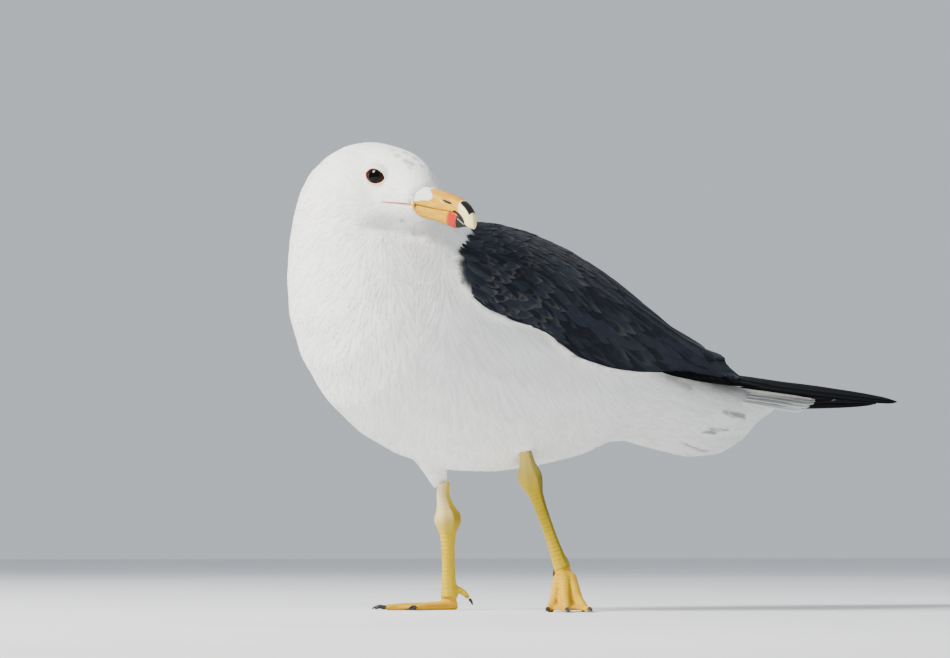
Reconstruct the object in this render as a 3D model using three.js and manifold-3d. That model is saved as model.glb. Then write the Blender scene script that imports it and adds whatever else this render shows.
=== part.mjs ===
// A standing gull with its head turned to its left, life size, in millimetres.
// +X is the way the body faces, +Y its left side and +Z up. The floor is at z = 0.
// The body is modelled whole and then parted into head, neck and trunk by thin cuts.
import * as THREE from "three";
import { mergeVertices } from "three/addons/utils/BufferGeometryUtils.js";
import Module from "manifold-3d";

const wasm = await Module();
wasm.setup();

// ---- driving dimensions ----------------------------------------------------------------------
const GAP = 0.3; // clearance between neighbouring pieces
const EDGE = 0.8; // thickness of feather and web edges

const HEAD = {
  centre: [96, 32, 256.5], // midway between the eyes
  turn: 95, // degrees to the left of the body's heading
  nod: 16, // degrees that the face points down
};
const EYE = { radius: 8.4, side: 13.6, forward: 3.4, up: 0.4 };
const BILL = { gap: 0.35 };
// A point in each of the two cuts that part head, neck and trunk, and the way that it faces.
const NECK_CUT = {
  head: [100, 0, 234],
  headNormal: [0, 0.16, 1],
  trunk: [48, 0, 236],
  trunkNormal: [0.32, 0, 1],
};
const TAIL = {
  root: -108,
  tip: -242,
  height: 146, // of the root's ridge
  droop: 9.5, // how much lower the ridge is at the tip
  roof: 9, // how far the outer feathers lie below the ridge
  fan: 7, // degrees that each side spreads
  feathers: 6, // how many ends show, with the rest folded under them
  half: 15,
  thick: 2,
  shorter: 30, // how far the outermost feathers stop short of the middle ones
  scallop: 2.5, // how deep the notch between two feathers is
  rootRoof: 0.4, // the roof at the root as a share of that at the tip
  rows: [0, 0.5, 0.9, 1],
  tipThick: 0.5, // thickness at the tip as a share of that at the root
};
// How much more than its clearance the tail's cut is grown sideways and upright, as it is sloped.
const CUT_WIDER = 1.4;
const CUT_HIGHER = 2.5;
const PRIMARY = {
  tip: -317,
  width: 18,
  thick: 2,
  lean: 28, // degrees that a feather's inner edge lies over its outer one
  point: 0.24, // share of its length that narrows to the tip
  rootHeight: 144.6,
  rootStep: 0.9, // how much higher each next feather's root lies
  tipHeight: 136.4,
  tipStep: 1.2,
  rise: 0.035, // how much higher a tip lies for each mm that it stops short
  rightLower: 2,
};
// Each long wing feather: where its root is, how far its tip stops short of the wing's, and how
// far both are from the middle of the bird.
const PRIMARIES = [
  { root: -116, short: 0, rootSide: 33, tipSide: 6.5 },
  { root: -146, short: 23, rootSide: 26, tipSide: 7.5 },
  { root: -148, short: 53, rootSide: 20, tipSide: 9.8 },
  { root: -150, short: 86, rootSide: 14.5, tipSide: 11 },
];

const LEGS = {
  left: {
    side: 1,
    hip: [14, 43, 116],
    feathered: [9, 38.5, 102],
    ankle: [0.9, 33, 81.5],
    foot: [-18.9, 41, 22.4],
    heading: 57,
    spread: 19,
    opening: 0.55, // under 1 the toes part sooner, nearer the joint
    landing: 0.62, // how far along the toes the foot comes down flat
    stout: 1, // how thick the bare leg is
  },
  right: {
    side: -1,
    hip: [32, -34, 104],
    feathered: [22, -33, 76],
    ankle: [17.1, -33, 56.6],
    foot: [14.4, -35, 4.4],
    heading: -6,
    spread: 24,
    opening: 1,
    landing: 0.08,
    stout: 1.12,
  },
};

const COLOURS = {
  white: { color: 0xf1f1ee, roughness: 0.85, metalness: 0 },
  slate: { color: 0x55595f, roughness: 0.75, metalness: 0 },
  black: { color: 0x17181b, roughness: 0.7, metalness: 0 },
  leg: { color: 0xd9b23a, roughness: 0.55, metalness: 0 },
  bill: { color: 0xf0b52e, roughness: 0.35, metalness: 0 },
  claw: { color: 0x1d1a18, roughness: 0.4, metalness: 0 },
  eye: { color: 0x1c0e09, roughness: 0.08, metalness: 0 },
};

// The body's side profile from the undertail to the crown: the line of the back, the line of the
// belly, the half width, and how far up from the belly the body is widest.
const BODY_STATIONS = [
  { backX: -212, backZ: 133.5, bellyX: -212, bellyZ: 126.5, half: 8, widest: 0.5 },
  { backX: -197, backZ: 138, bellyX: -196, bellyZ: 119, half: 14, widest: 0.5 },
  { backX: -182, backZ: 144, bellyX: -181, bellyZ: 106, half: 22, widest: 0.5 },
  { backX: -156, backZ: 150, bellyX: -157, bellyZ: 96, half: 29, widest: 0.5 },
  { backX: -120, backZ: 164, bellyX: -122, bellyZ: 101, half: 36, widest: 0.5 },
  { backX: -86, backZ: 185, bellyX: -86, bellyZ: 107, half: 46, widest: 0.5 },
  { backX: -52, backZ: 205, bellyX: -50, bellyZ: 94, half: 57, widest: 0.48 },
  { backX: -12, backZ: 227, bellyX: -8, bellyZ: 86, half: 64, widest: 0.48 },
  { backX: 24, backZ: 235, bellyX: 34, bellyZ: 85, half: 66, widest: 0.48 },
  { backX: 42, backZ: 240, bellyX: 76, bellyZ: 98, half: 66, widest: 0.48 },
  { backX: 49, backZ: 244, bellyX: 110, bellyZ: 122, half: 62, widest: 0.47 },
  { backX: 53, backZ: 248, bellyX: 134, bellyZ: 158, half: 55, widest: 0.47 },
  { backX: 56, backZ: 254, bellyX: 142, bellyZ: 196, half: 47, widest: 0.48 },
  { backX: 60, backZ: 261, bellyX: 141, bellyZ: 226, half: 41.5, widest: 0.5 },
  { backX: 66, backZ: 268, bellyX: 136, bellyZ: 249, half: 37, widest: 0.5 },
  { backX: 75, backZ: 276, bellyX: 126, bellyZ: 267, half: 28, widest: 0.5 },
  { backX: 89, backZ: 281, bellyX: 110, bellyZ: 278.5, half: 11, widest: 0.5 },
];

// The head along its own axis from nape to bill, measured from the middle of the eyes.
const HEAD_STATIONS = [
  { x: -47, top: 8, bottom: -6, half: 8 },
  { x: -41, top: 13, bottom: -18, half: 16 },
  { x: -28, top: 16.8, bottom: -25, half: 21.5 },
  { x: -13, top: 17.6, bottom: -28, half: 23 },
  { x: 1, top: 17.4, bottom: -28, half: 21.6 },
  { x: 12, top: 15.6, bottom: -26, half: 18.2 },
  { x: 22, top: 11.4, bottom: -23.4, half: 13.8 },
  { x: 32, top: 4.6, bottom: -19.8, half: 9.8 },
  { x: 39, top: -1.2, bottom: -16.8, half: 6.8 },
];

// The bill along the head's axis: culmen, cutting edge and lower edge, with the half widths.
const BILL_STATIONS = [
  { x: 27, culmen: -0.6, edge: -10.8, lower: -15.2, half: 9.8, jaw: 9.4 },
  { x: 34, culmen: 0.9, edge: -10.2, lower: -16.8, half: 8.6, jaw: 8.2 },
  { x: 42, culmen: 1.1, edge: -9.9, lower: -17.2, half: 7.2, jaw: 6.8 },
  { x: 50, culmen: 1.1, edge: -9.4, lower: -17, half: 6.3, jaw: 5.8 },
  { x: 58, culmen: 0.8, edge: -8.7, lower: -17, half: 5.6, jaw: 5 },
  { x: 65, culmen: 0, edge: -8.2, lower: -17.5, half: 5, jaw: 4.4 },
  { x: 71, culmen: -1.7, edge: -9, lower: -15.5, half: 4.4, jaw: 3.5 },
  { x: 76, culmen: -4.3, edge: -11, lower: -13.1, half: 3.6, jaw: 1.8 },
];
// The hook past the end of the lower half.
const HOOK_STATIONS = [
  { x: 79.6, culmen: -7.4, edge: -13.2, half: 2.6 },
  { x: 82, culmen: -12, edge: -14.3, half: 1.1 },
];

// The folded wing in upright slices: the ridge, the height of greatest width and the lower edge.
const WING_STATIONS = [
  { x: 68, top: 224, mid: 197, low: 191, half: 62, ridge: 52, depth: 90, shell: 1.2 },
  { x: 60, top: 231, mid: 187, low: 181, half: 67, ridge: 38, depth: 90, shell: 4 },
  { x: 44, top: 237, mid: 178, low: 172, half: 70, ridge: 22, depth: 86, shell: 7 },
  { x: 18, top: 238, mid: 171, low: 165.5, half: 71.5, ridge: 12, depth: 80, shell: 8 },
  { x: -14, top: 233, mid: 160, low: 149.5, half: 69, ridge: 7, depth: 72, shell: 8 },
  { x: -50, top: 220, mid: 155, low: 145, half: 62, ridge: 4, depth: 60, shell: 7 },
  { x: -84, top: 200, mid: 153, low: 146.5, half: 53, ridge: 2, depth: 48, shell: 6 },
  { x: -114, top: 180, mid: 151, low: 146, half: 45, ridge: 1.2, depth: 42, shell: 5 },
  { x: -140, top: 169, mid: 149, low: 145, half: 38, ridge: 1.2, depth: 38, shell: 3.4 },
  { x: -158, top: 157, mid: 147.5, low: 144.2, half: 32, ridge: 2, depth: 34, shell: 2.2 },
  { x: -170, top: 150, mid: 146, low: 144, half: 27, ridge: 12, depth: 34, shell: 1.2 },
];

const WING_GAP = 0.75; // clearance of the bed that a wing lies in, as its sides slope
const WING_PROUD = 2.4; // how far the cut for a wing reaches out past the wing's own surface
const WING_THIN = 0.6; // how soon the wing's shell is at its full thickness, from each edge

// How round each section is: 1 is an ellipse, less is fuller.
const FULL = { head: 0.95, body: 0.92, billSide: 0.8, culmen: 0.75, keel: 0.8 };
const HEAD_MIDDLE = 0.46; // how far up the head is widest

// A long feather: the shares of its tapering end at which it has rings, where it is at its full
// width, how wide its root is over that, and its least width.
const BLADE = { taper: [1, 0.55, 0.2, 0], full: 0.35, rootShare: 0.6, least: 0.12 };

// ---- small tools -------------------------------------------------------------------------------
const radians = THREE.MathUtils.degToRad;
const { clamp, lerp } = THREE.MathUtils;
const vec = (x, y, z) => new THREE.Vector3(x, y, z);
const power = (value, exponent) => Math.sign(value) * Math.abs(value) ** exponent;
const steps = (count) => Array.from({ length: count + 1 }, (_, i) => i / count);

// A value of the stations at u from 0 to 1, on a Catmull-Rom curve through them.
function along(stations, key, u) {
  const last = stations.length - 1;
  const i = Math.min(Math.floor(u * last), last - 1);
  const t = u * last - i;
  const [a, b, c, d] = [i - 1, i, i + 1, i + 2].map((k) => stations[clamp(k, 0, last)][key]);
  return 0.5 * (2 * b + (c - a) * t + (2 * a - 5 * b + 4 * c - d) * t * t + (3 * b - a - 3 * c + d) * t ** 3);
}

// A closed skin over rings of equal length. A fan of triangles closes each end, or on a sheet, whose
// rings run out along its upper face and back along its lower one, a strip across its thickness.
function loft(rings, isSheet = false) {
  const count = rings[0].length;
  const points = rings.flat();
  const index = [];
  for (let r = 0; r < rings.length - 1; r += 1) {
    for (let k = 0; k < count; k += 1) {
      const a = r * count + k;
      const b = r * count + ((k + 1) % count);
      index.push(a, b, b + count, a, b + count, a + count);
    }
  }
  for (const [r, flip] of [[0, true], [rings.length - 1, false]]) {
    const close = (a, b, c) => index.push(...(flip ? [b, a, c] : [a, b, c]));
    if (isSheet) {
      const [first, last] = [r * count, (r + 1) * count - 1];
      for (let k = 0; k < count / 2 - 1; k += 1) {
        close(first + k, first + k + 1, last - k - 1);
        close(first + k, last - k - 1, last - k);
      }
    } else {
      const middle = rings[r].reduce((sum, p) => sum.add(p), vec(0, 0, 0)).divideScalar(count);
      const tip = points.push(middle) - 1;
      for (let k = 0; k < count; k += 1) close(r * count + k, r * count + ((k + 1) % count), tip);
    }
  }
  const geometry = new THREE.BufferGeometry().setFromPoints(points);
  return solidOf(geometry.setIndex(index));
}

// A closed geometry as a solid, turned the right way out.
function solidOf(geometry) {
  const bare = new THREE.BufferGeometry().setAttribute("position", geometry.getAttribute("position"));
  const merged = mergeVertices(bare.setIndex(geometry.index), 1e-4);
  const make = (triVerts) =>
    new wasm.Manifold(
      new wasm.Mesh({ numProp: 3, vertProperties: merged.attributes.position.array, triVerts }),
    );
  const solid = make(new Uint32Array(merged.index.array));
  if (solid.volume() > 0) return solid;
  return make(new Uint32Array(merged.index.array).reverse());
}

function geometryOf(solid) {
  const { vertProperties, triVerts } = solid.getMesh();
  const geometry = new THREE.BufferGeometry();
  geometry.setAttribute("position", new THREE.BufferAttribute(vertProperties, 3));
  geometry.setIndex(new THREE.BufferAttribute(triVerts, 1));
  geometry.computeVertexNormals();
  return geometry;
}

// A solid in its own frame, carried into the body's frame by a matrix.
const placed = (solid, matrix) => solid.transform(matrix.elements);

// The biggest body of a solid, without crumbs that a cut leaves.
const largest = (solid) => solid.decompose().sort((a, b) => b.volume() - a.volume())[0];

// A tube through points with its own two radii at each, across and upright, for toes and legs.
function tube(points, across, upright, sides = 10) {
  const path = new THREE.CatmullRomCurve3(points, false, "centripetal");
  const total = points.length - 1;
  const rings = points.map((point, i) => {
    const tangent = path.getTangent(i / total);
    const side = vec(0, 0, 1).cross(tangent);
    if (side.length() < 0.2) side.set(0, 1, 0);
    side.normalize();
    const up = tangent.clone().cross(side).normalize();
    return steps(sides).slice(0, sides).map((t) => {
      const angle = 2 * Math.PI * t;
      const p = point.clone().addScaledVector(side, across[i] * Math.cos(angle));
      return p.addScaledVector(up, upright[i] * Math.sin(angle));
    });
  });
  return loft(rings);
}

// ---- head and bill -----------------------------------------------------------------------------
function headMatrix() {
  const forward = vec(Math.cos(radians(HEAD.turn)), Math.sin(radians(HEAD.turn)), 0);
  forward.multiplyScalar(Math.cos(radians(HEAD.nod)));
  forward.z = -Math.sin(radians(HEAD.nod));
  const left = vec(0, 0, 1).cross(forward).normalize();
  const up = forward.clone().cross(left);
  return new THREE.Matrix4().makeBasis(forward, left, up).setPosition(...HEAD.centre);
}

function headSolid() {
  const sides = 20;
  const rings = steps(12).map((u) => {
    const [x, top, bottom, half] = ["x", "top", "bottom", "half"].map((k) => along(HEAD_STATIONS, k, u));
    const middle = lerp(bottom, top, HEAD_MIDDLE);
    return steps(sides).slice(0, sides).map((t) => {
      const angle = 2 * Math.PI * t;
      const rise = Math.cos(angle) > 0 ? top - middle : middle - bottom;
      const y = half * power(Math.sin(angle), FULL.head);
      return vec(x, y, middle + rise * power(Math.cos(angle), FULL.head));
    });
  });
  return loft(rings);
}

// Slices of the upper half of the bill: a rounded ridge over a flat cutting edge.
function upperBill(grow = 0) {
  const stations = [...BILL_STATIONS, ...HOOK_STATIONS];
  const rings = steps(14).map((u) => {
    const [x, culmen, edge, half] = ["x", "culmen", "edge", "half"].map((k) => along(stations, k, u));
    const arch = steps(7).map((t) => {
      const angle = Math.PI * t;
      const y = (half + grow) * power(Math.cos(angle), FULL.billSide);
      return vec(x, y, edge - grow + (culmen - edge + 2 * grow) * power(Math.sin(angle), FULL.culmen));
    });
    return [...arch, vec(x, 0, edge - grow)];
  });
  return loft(rings);
}

function lowerBill(grow = 0) {
  const rings = steps(10).map((u) => {
    const [x, edge, lower, jaw] = ["x", "edge", "lower", "jaw"].map((k) => along(BILL_STATIONS, k, u));
    const top = edge - BILL.gap + grow;
    const keel = steps(7).map((t) => {
      const angle = Math.PI * t;
      const y = (jaw + grow) * power(Math.cos(angle), FULL.billSide);
      return vec(x, y, top - Math.max(top - lower + grow, EDGE) * power(Math.sin(angle), FULL.keel));
    });
    return [...keel, vec(x, 0, top)];
  });
  return loft(rings);
}

function eyeSolid(side, grow = 0) {
  const ball = new THREE.SphereGeometry(EYE.radius + grow, 12, 7);
  ball.translate(EYE.forward, side * EYE.side, EYE.up);
  return solidOf(ball);
}

// ---- body --------------------------------------------------------------------------------------
function bodySolid() {
  const sides = 20;
  const rings = steps(24).map((u) => {
    const keys = ["backX", "backZ", "bellyX", "bellyZ", "half", "widest"];
    const [backX, backZ, bellyX, bellyZ, half, widest] = keys.map((k) => along(BODY_STATIONS, k, u));
    const back = vec(backX, 0, backZ);
    const belly = vec(bellyX, 0, bellyZ);
    const centre = belly.clone().lerp(back, widest);
    return steps(sides).slice(0, sides).map((t) => {
      const angle = 2 * Math.PI * t;
      const reach = Math.cos(angle) > 0 ? back : belly;
      const point = centre.clone().lerp(reach, Math.abs(power(Math.cos(angle), FULL.body)));
      point.y = half * power(Math.sin(angle), FULL.body);
      return point;
    });
  });
  return loft(rings);
}

// ---- wings -------------------------------------------------------------------------------------
// The folded wing is a curved shell. grow thickens it for the cut that it leaves in the body.
function wingSolid(side, grow = 0) {
  const across = 7;
  const rings = steps(13).map((u) => {
    const keys = ["x", "top", "mid", "low", "half", "ridge", "depth", "shell"];
    const [x, top, mid, low, half, ridge, depth, shell] = keys.map((k) => along(WING_STATIONS, k, u));
    const from = Math.asin(clamp(Math.max(ridge - grow, 0.05) / half, 0, 0.97));
    const under = (mid - low + grow) / depth;
    const to = Math.PI / 2 + Math.asin(clamp(under, -0.95, 0.95));
    const outer = steps(across).map((t) => {
      const angle = lerp(from, to, t);
      const reach = Math.cos(angle) > 0 ? top - mid : depth;
      return [half * Math.sin(angle), mid + reach * Math.cos(angle), angle, t];
    });
    const offset = (distance, [y, z, angle, t]) => {
      const reach = Math.cos(angle) > 0 ? top - mid : depth;
      const normal = new THREE.Vector2(Math.sin(angle) / half, Math.cos(angle) / reach).normalize();
      const inner = lerp(EDGE, -distance, Math.sin(Math.PI * t) ** WING_THIN) + grow;
      const taper = distance < 0 ? inner : -distance;
      return vec(x, Math.max(y - normal.x * taper, 0.1), z - normal.y * taper);
    };
    const outside = outer.map((p) => offset(grow > 0 ? WING_PROUD : 0, p));
    const inside = outer.map((p) => offset(-Math.max(shell, EDGE), p)).reverse();
    return [...outside, ...inside].map((p) => vec(p.x, side * p.y, p.z));
  });
  return loft(rings);
}

// One long feather as a thin blade: a rounded tip, a parallel middle and a narrow root. The blade
// leans by roll, and its faces are thick apart.
function blade({ root, tip, width, thick, roll, point }) {
  const direction = tip.clone().sub(root);
  const length = direction.length();
  direction.normalize();
  const flatSide = vec(0, 0, 1).cross(direction).normalize();
  const across = flatSide.applyAxisAngle(direction, radians(roll));
  const normal = direction.clone().cross(across).normalize();
  const rings = [0, BLADE.full, ...BLADE.taper.map((share) => 1 - point * share)].map((u) => {
    const toTip = clamp((1 - u) / point, 0, 1);
    const round = Math.max(Math.sqrt(1 - (1 - toTip) ** 2), BLADE.least);
    const half = (width / 2) * lerp(BLADE.rootShare, 1, clamp(u / BLADE.full, 0, 1)) * round;
    const centre = root.clone().addScaledVector(direction, u * length);
    const corners = [[1, -1], [1, 1], [-1, 1], [-1, -1]];
    return corners.map(([a, n]) =>
      centre.clone().addScaledVector(across, a * half).addScaledVector(normal, (n * thick) / 2),
    );
  });
  return loft(rings);
}

// The wing tip: primaries stacked like roof tiles, the longest outermost and lowest.
function primarySolid(side, grow = 0) {
  const settled = side < 0 ? PRIMARY.rightLower : 0;
  const feathers = PRIMARIES.map(({ root: rootX, short, rootSide, tipSide }, i) => {
    const rootZ = PRIMARY.rootHeight + PRIMARY.rootStep * i - settled;
    const tipZ = PRIMARY.tipHeight + PRIMARY.tipStep * i + PRIMARY.rise * short - settled;
    return blade({
      root: vec(rootX, side * rootSide, rootZ),
      tip: vec(PRIMARY.tip + short, side * tipSide, tipZ),
      width: PRIMARY.width + 2 * grow,
      thick: PRIMARY.thick + 2 * grow,
      roll: -side * PRIMARY.lean,
      point: PRIMARY.point,
    });
  });
  return feathers.reduce((all, feather) => all.add(feather));
}

// The tail: a shallow roof of feathers with rounded ends, the middle pair longest.
function tailSolid(grow = 0) {
  const columns = TAIL.feathers * 2;
  const sheet = (face) =>
    TAIL.rows.map((row) =>
      steps(columns).map((q, k) => {
        const place = 2 * q - 1;
        const scallop = k % 2 ? 0 : TAIL.scallop;
        const length = TAIL.root - TAIL.tip - TAIL.shorter * place ** 2 - scallop + 2 * grow;
        const angle = radians(place * TAIL.fan);
        const x = TAIL.root + grow - Math.cos(angle) * length * row;
        const y = place * (TAIL.half + CUT_WIDER * grow) + Math.sin(angle) * length * row;
        const arch = TAIL.roof * place ** 2 * lerp(TAIL.rootRoof, 1, row);
        const lift = (TAIL.thick / 2) * lerp(1, TAIL.tipThick, row) + CUT_HIGHER * grow;
        return vec(x, y, TAIL.height - arch - TAIL.droop * row + face * lift);
      }),
    );
  const [upper, lower] = [sheet(1), sheet(-1)];
  return loft(TAIL.rows.map((_, i) => [...upper[i], ...lower[i].reverse()]), true);
}

// ---- legs --------------------------------------------------------------------------------------
const blend = (from, to, t) => from.clone().lerp(to, t);

const THIGH = { radii: [14, 12.4, 9.2, 6.8, 5], flat: 0.86 }; // from the hip down; width over depth

function thighSolid({ hip, feathered }, grow = 0) {
  const [top, end] = [vec(...hip), vec(...feathered)];
  const radii = THIGH.radii.map((r) => r + grow);
  const past = end.clone().sub(top).normalize().multiplyScalar(grow);
  const points = steps(4).map((t) => blend(top, end.clone().add(past), t));
  return tube(points, radii.map((r) => r * THIGH.flat), radii, 10);
}

// The bare leg in one length, from inside the feathering over the ankle to the toes.
function shankPoints({ feathered, ankle, foot }) {
  const [top, knob, end] = [vec(...feathered), vec(...ankle), vec(...foot)];
  const above = [-0.12, 0.35, 0.7].map((t) => blend(top, knob, t));
  const below = [0.09, 0.2, 0.45, 0.72, 0.9, 1].map((t) => blend(knob, end, t));
  return [...above, knob, ...below];
}
// The bare leg's half depth and half width at those points.
const SHANK_DEPTH = [3.4, 3.7, 5.4, 8.2, 6.9, 4.4, 3.7, 3.9, 4.8, 5.4];
const SHANK_WIDTH = [3.0, 3.3, 4.9, 7.1, 5.8, 3.6, 3.1, 3.3, 4.4, 5.2];

function shankSolid(leg, grow = 0) {
  const path = new THREE.CatmullRomCurve3(shankPoints(leg), false, "centripetal");
  const values = SHANK_DEPTH.map((depth, i) => ({ depth, width: SHANK_WIDTH[i] }));
  const rings = steps(13).map((u) => {
    const centre = path.getPoint(u);
    const tangent = path.getTangent(u);
    const side = tangent.clone().cross(vec(1, 0, 0)).normalize();
    const fore = side.clone().cross(tangent).normalize();
    const [depth, width] = ["depth", "width"].map((k) => along(values, k, u) * leg.stout + grow);
    return steps(8).slice(0, 8).map((t) => {
      const angle = 2 * Math.PI * t;
      const p = centre.clone().addScaledVector(side, width * Math.cos(angle));
      return p.addScaledVector(fore, depth * Math.sin(angle));
    });
  });
  return loft(rings);
}

// Toes from the inner to the outer, with their lengths to the claw.
const TOES = [
  { name: "inner", turn: 1, length: 33, radius: 2.4 },
  { name: "middle", turn: 0, length: 44, radius: 2.7 },
  { name: "outer", turn: -1, length: 41, radius: 2.4 },
];
const SOLE = 1.8; // height of a toe's middle over the floor
const FOOT_CUT = 3.2; // how far above the joint the foot ends
// Places along a toe from behind its joint to the claw, and how thick it is there over its radius.
const TOE = { shares: [-0.08, 0.13, 0.4, 0.74, 1], swell: [1.7, 1.3, 1.05, 0.95, 0.55], sides: 7 };
const WEB = { thick: 1, drawnIn: 0.13, shares: [0.1, 0.5, 0.92] };
const CLAW = { length: 6.5, radius: 1.5, clear: 0.3, arch: 0.5, hook: 1.1, taper: 0.82 };
// The hind toe: its places behind and above the joint, its radii, and the same of its claw.
const HIND_TOE = { turn: 24, places: [[3.5, 9], [7, 7.6], [10, 5], [12, 2.8]], radii: [1.8, 2, 1.8, 1.2] };
const HIND_CLAW = { places: [[12.4, 2.3], [13.7, 0.6], [14.4, -1.4]], radii: [1, 0.75, 0.35] };

// A toe's middle line: down from the joint to the floor, then flat along it to the tip.
function toeLine(leg, toe) {
  const joint = vec(...leg.foot);
  const heading = radians(leg.heading);
  const turn = -radians(leg.side * toe.turn * leg.spread);
  return (share) => {
    const reach = share * toe.length * Math.cos(turn);
    const aside = Math.max(share, 0) ** leg.opening * toe.length * Math.sin(turn);
    const fall = THREE.MathUtils.smoothstep(share, 0, leg.landing);
    const x = joint.x + reach * Math.cos(heading) - aside * Math.sin(heading);
    const y = joint.y + reach * Math.sin(heading) + aside * Math.cos(heading);
    return vec(x, y, lerp(joint.z, SOLE, fall));
  };
}

// The web between two toes: a thin sheet, drawn in at its front edge.
function webSolid(leg, toe, next) {
  const [near, far] = [toeLine(leg, toe), toeLine(leg, next)];
  const sheet = (rise) =>
    WEB.shares.map((share) => {
      const drawn = share * (1 - WEB.drawnIn * share ** 2);
      const row = [near(share), blend(near(drawn), far(drawn), 0.5), far(share)];
      return row.map((p) => p.add(vec(0, 0, rise)));
    });
  const [upper, lower] = [sheet(WEB.thick / 2), sheet(-WEB.thick / 2)];
  return loft(upper.map((row, i) => [...row, ...lower[i].reverse()]), true);
}

// The webbed foot: three toes and their webs, cut flat where they rest on the floor.
function footSolid(leg) {
  const toes = TOES.map((toe) => {
    const line = toeLine(leg, toe);
    const radii = TOE.swell.map((swell) => toe.radius * swell);
    return tube(TOE.shares.map((share) => line(share)), radii, radii, TOE.sides);
  });
  const webs = [0, 1].map((k) => webSolid(leg, TOES[k], TOES[k + 1]));
  return largest([...toes, ...webs].reduce((all, piece) => all.add(piece)).trimByPlane([0, 0, 1], 0));
}

function clawSolid(leg, toe) {
  const line = toeLine(leg, toe);
  const tip = line(1);
  const ahead = tip.clone().sub(line(0.9)).setZ(0).normalize();
  const shares = [0, 0.35, 0.7, 1];
  const points = shares.map((s) => {
    const p = tip.clone().addScaledVector(ahead, GAP + CLAW.clear + s * CLAW.length);
    p.z = tip.z + CLAW.arch * Math.sin(Math.PI * s) - CLAW.hook * s * s;
    return p;
  });
  const radii = shares.map((s) => CLAW.radius * (1 - CLAW.taper * s));
  return tube(points, radii, radii, 6);
}

// The small hind toe, raised behind the joint, and its claw.
function hindToe(leg) {
  const back = radians(leg.heading + 180 + leg.side * HIND_TOE.turn);
  const at = ([reach, z]) =>
    vec(leg.foot[0] + reach * Math.cos(back), leg.foot[1] + reach * Math.sin(back), leg.foot[2] + z);
  const toe = tube(HIND_TOE.places.map(at), HIND_TOE.radii, HIND_TOE.radii, 6);
  const claw = tube(HIND_CLAW.places.map(at), HIND_CLAW.radii, HIND_CLAW.radii, 6);
  return { toe, claw };
}

// ---- putting the bird together ------------------------------------------------------------------
const materials = Object.fromEntries(
  Object.entries(COLOURS).map(([name, looks]) => [name, new THREE.MeshStandardMaterial(looks)]),
);
const bird = new THREE.Group();

function addPiece(name, solid, material) {
  const mesh = new THREE.Mesh(geometryOf(largest(solid)), materials[material]);
  mesh.name = name;
  bird.add(mesh);
}

// The two sides of a thin cut, first the side that the normal points to.
function parted(solid, point, normal) {
  const n = normal.clone().normalize();
  const offset = n.dot(point);
  const upper = solid.trimByPlane(n.toArray(), offset + GAP / 2);
  const lower = solid.trimByPlane(n.clone().negate().toArray(), -offset + GAP / 2);
  return [upper, lower];
}

function buildHeadPieces(body) {
  const matrix = headMatrix();
  const inPlace = (solid) => placed(solid, matrix);
  const sockets = [upperBill(GAP), lowerBill(GAP), eyeSolid(1, GAP), eyeSolid(-1, GAP)].map(inPlace);
  const whole = sockets.reduce((rest, socket) => rest.subtract(socket), body.add(inPlace(headSolid())));
  addPiece("bill_upper", inPlace(upperBill()), "bill");
  addPiece("bill_lower", inPlace(lowerBill()), "bill");
  addPiece("eye_left", inPlace(eyeSolid(1)), "eye");
  addPiece("eye_right", inPlace(eyeSolid(-1)), "eye");
  return whole;
}

function buildWingsAndTail(body) {
  let rest = body;
  const tailCut = tailSolid(GAP);
  for (const [name, side] of [["left", 1], ["right", -1]]) {
    const wingCut = wingSolid(side, WING_GAP);
    addPiece(`wing_${name}`, wingSolid(side), "slate");
    addPiece(`wingtip_${name}`, primarySolid(side).subtract(wingCut).subtract(tailCut), "black");
    rest = rest.subtract(wingCut).subtract(primarySolid(side, GAP));
  }
  addPiece("tail", tailSolid(), "white");
  return rest.subtract(tailCut);
}

function buildLegs(body) {
  let rest = body;
  for (const [name, leg] of Object.entries(LEGS)) {
    const shank = shankSolid(leg);
    const knob = vec(...leg.ankle);
    const joint = vec(...leg.foot);
    const [upper, lower] = parted(shank, knob, vec(...leg.feathered).sub(joint));
    const foot = footSolid(leg);
    const { toe, claw } = hindToe(leg);
    const ankleward = knob.clone().sub(joint).normalize();
    const hock = joint.clone().addScaledVector(ankleward, FOOT_CUT);
    const [tarsus] = parted(lower, hock, ankleward);
    const [, sole] = parted(foot, hock, ankleward);
    const thighCut = thighSolid(leg, GAP);
    const shankCut = shankSolid(leg, GAP);
    rest = rest.subtract(thighCut).subtract(shankCut);
    addPiece(`thigh_${name}`, thighSolid(leg).subtract(shankCut), "white");
    addPiece(`tibia_${name}`, upper, "leg");
    addPiece(`tarsus_${name}`, tarsus, "leg");
    addPiece(`foot_${name}`, sole, "leg");
    addPiece(`hind_toe_${name}`, toe.subtract(shankSolid(leg, GAP)), "leg");
    addPiece(`hind_claw_${name}`, claw, "claw");
    for (const t of TOES) {
      addPiece(`claw_${t.name}_${name}`, clawSolid(leg, t).trimByPlane([0, 0, 1], 0), "claw");
    }
  }
  return rest;
}

let whole = buildHeadPieces(bodySolid());
whole = buildWingsAndTail(whole);
whole = buildLegs(whole);
const [headPiece, belowHead] = parted(whole, vec(...NECK_CUT.head), vec(...NECK_CUT.headNormal));
const [neckPiece, trunkPiece] = parted(belowHead, vec(...NECK_CUT.trunk), vec(...NECK_CUT.trunkNormal));
addPiece("head", headPiece, "white");
addPiece("neck", neckPiece, "white");
addPiece("trunk", trunkPiece, "white");

// The origin is on the floor, under the middle of the bird's box.
const box = new THREE.Box3().setFromObject(bird);
bird.position.set(-(box.min.x + box.max.x) / 2, -(box.min.y + box.max.y) / 2, 0);

export default bird;
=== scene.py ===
import heapq
import itertools
import math

import bpy
import numpy as np
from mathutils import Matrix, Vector
from mathutils.bvhtree import BVHTree
from mathutils.kdtree import KDTree


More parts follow.
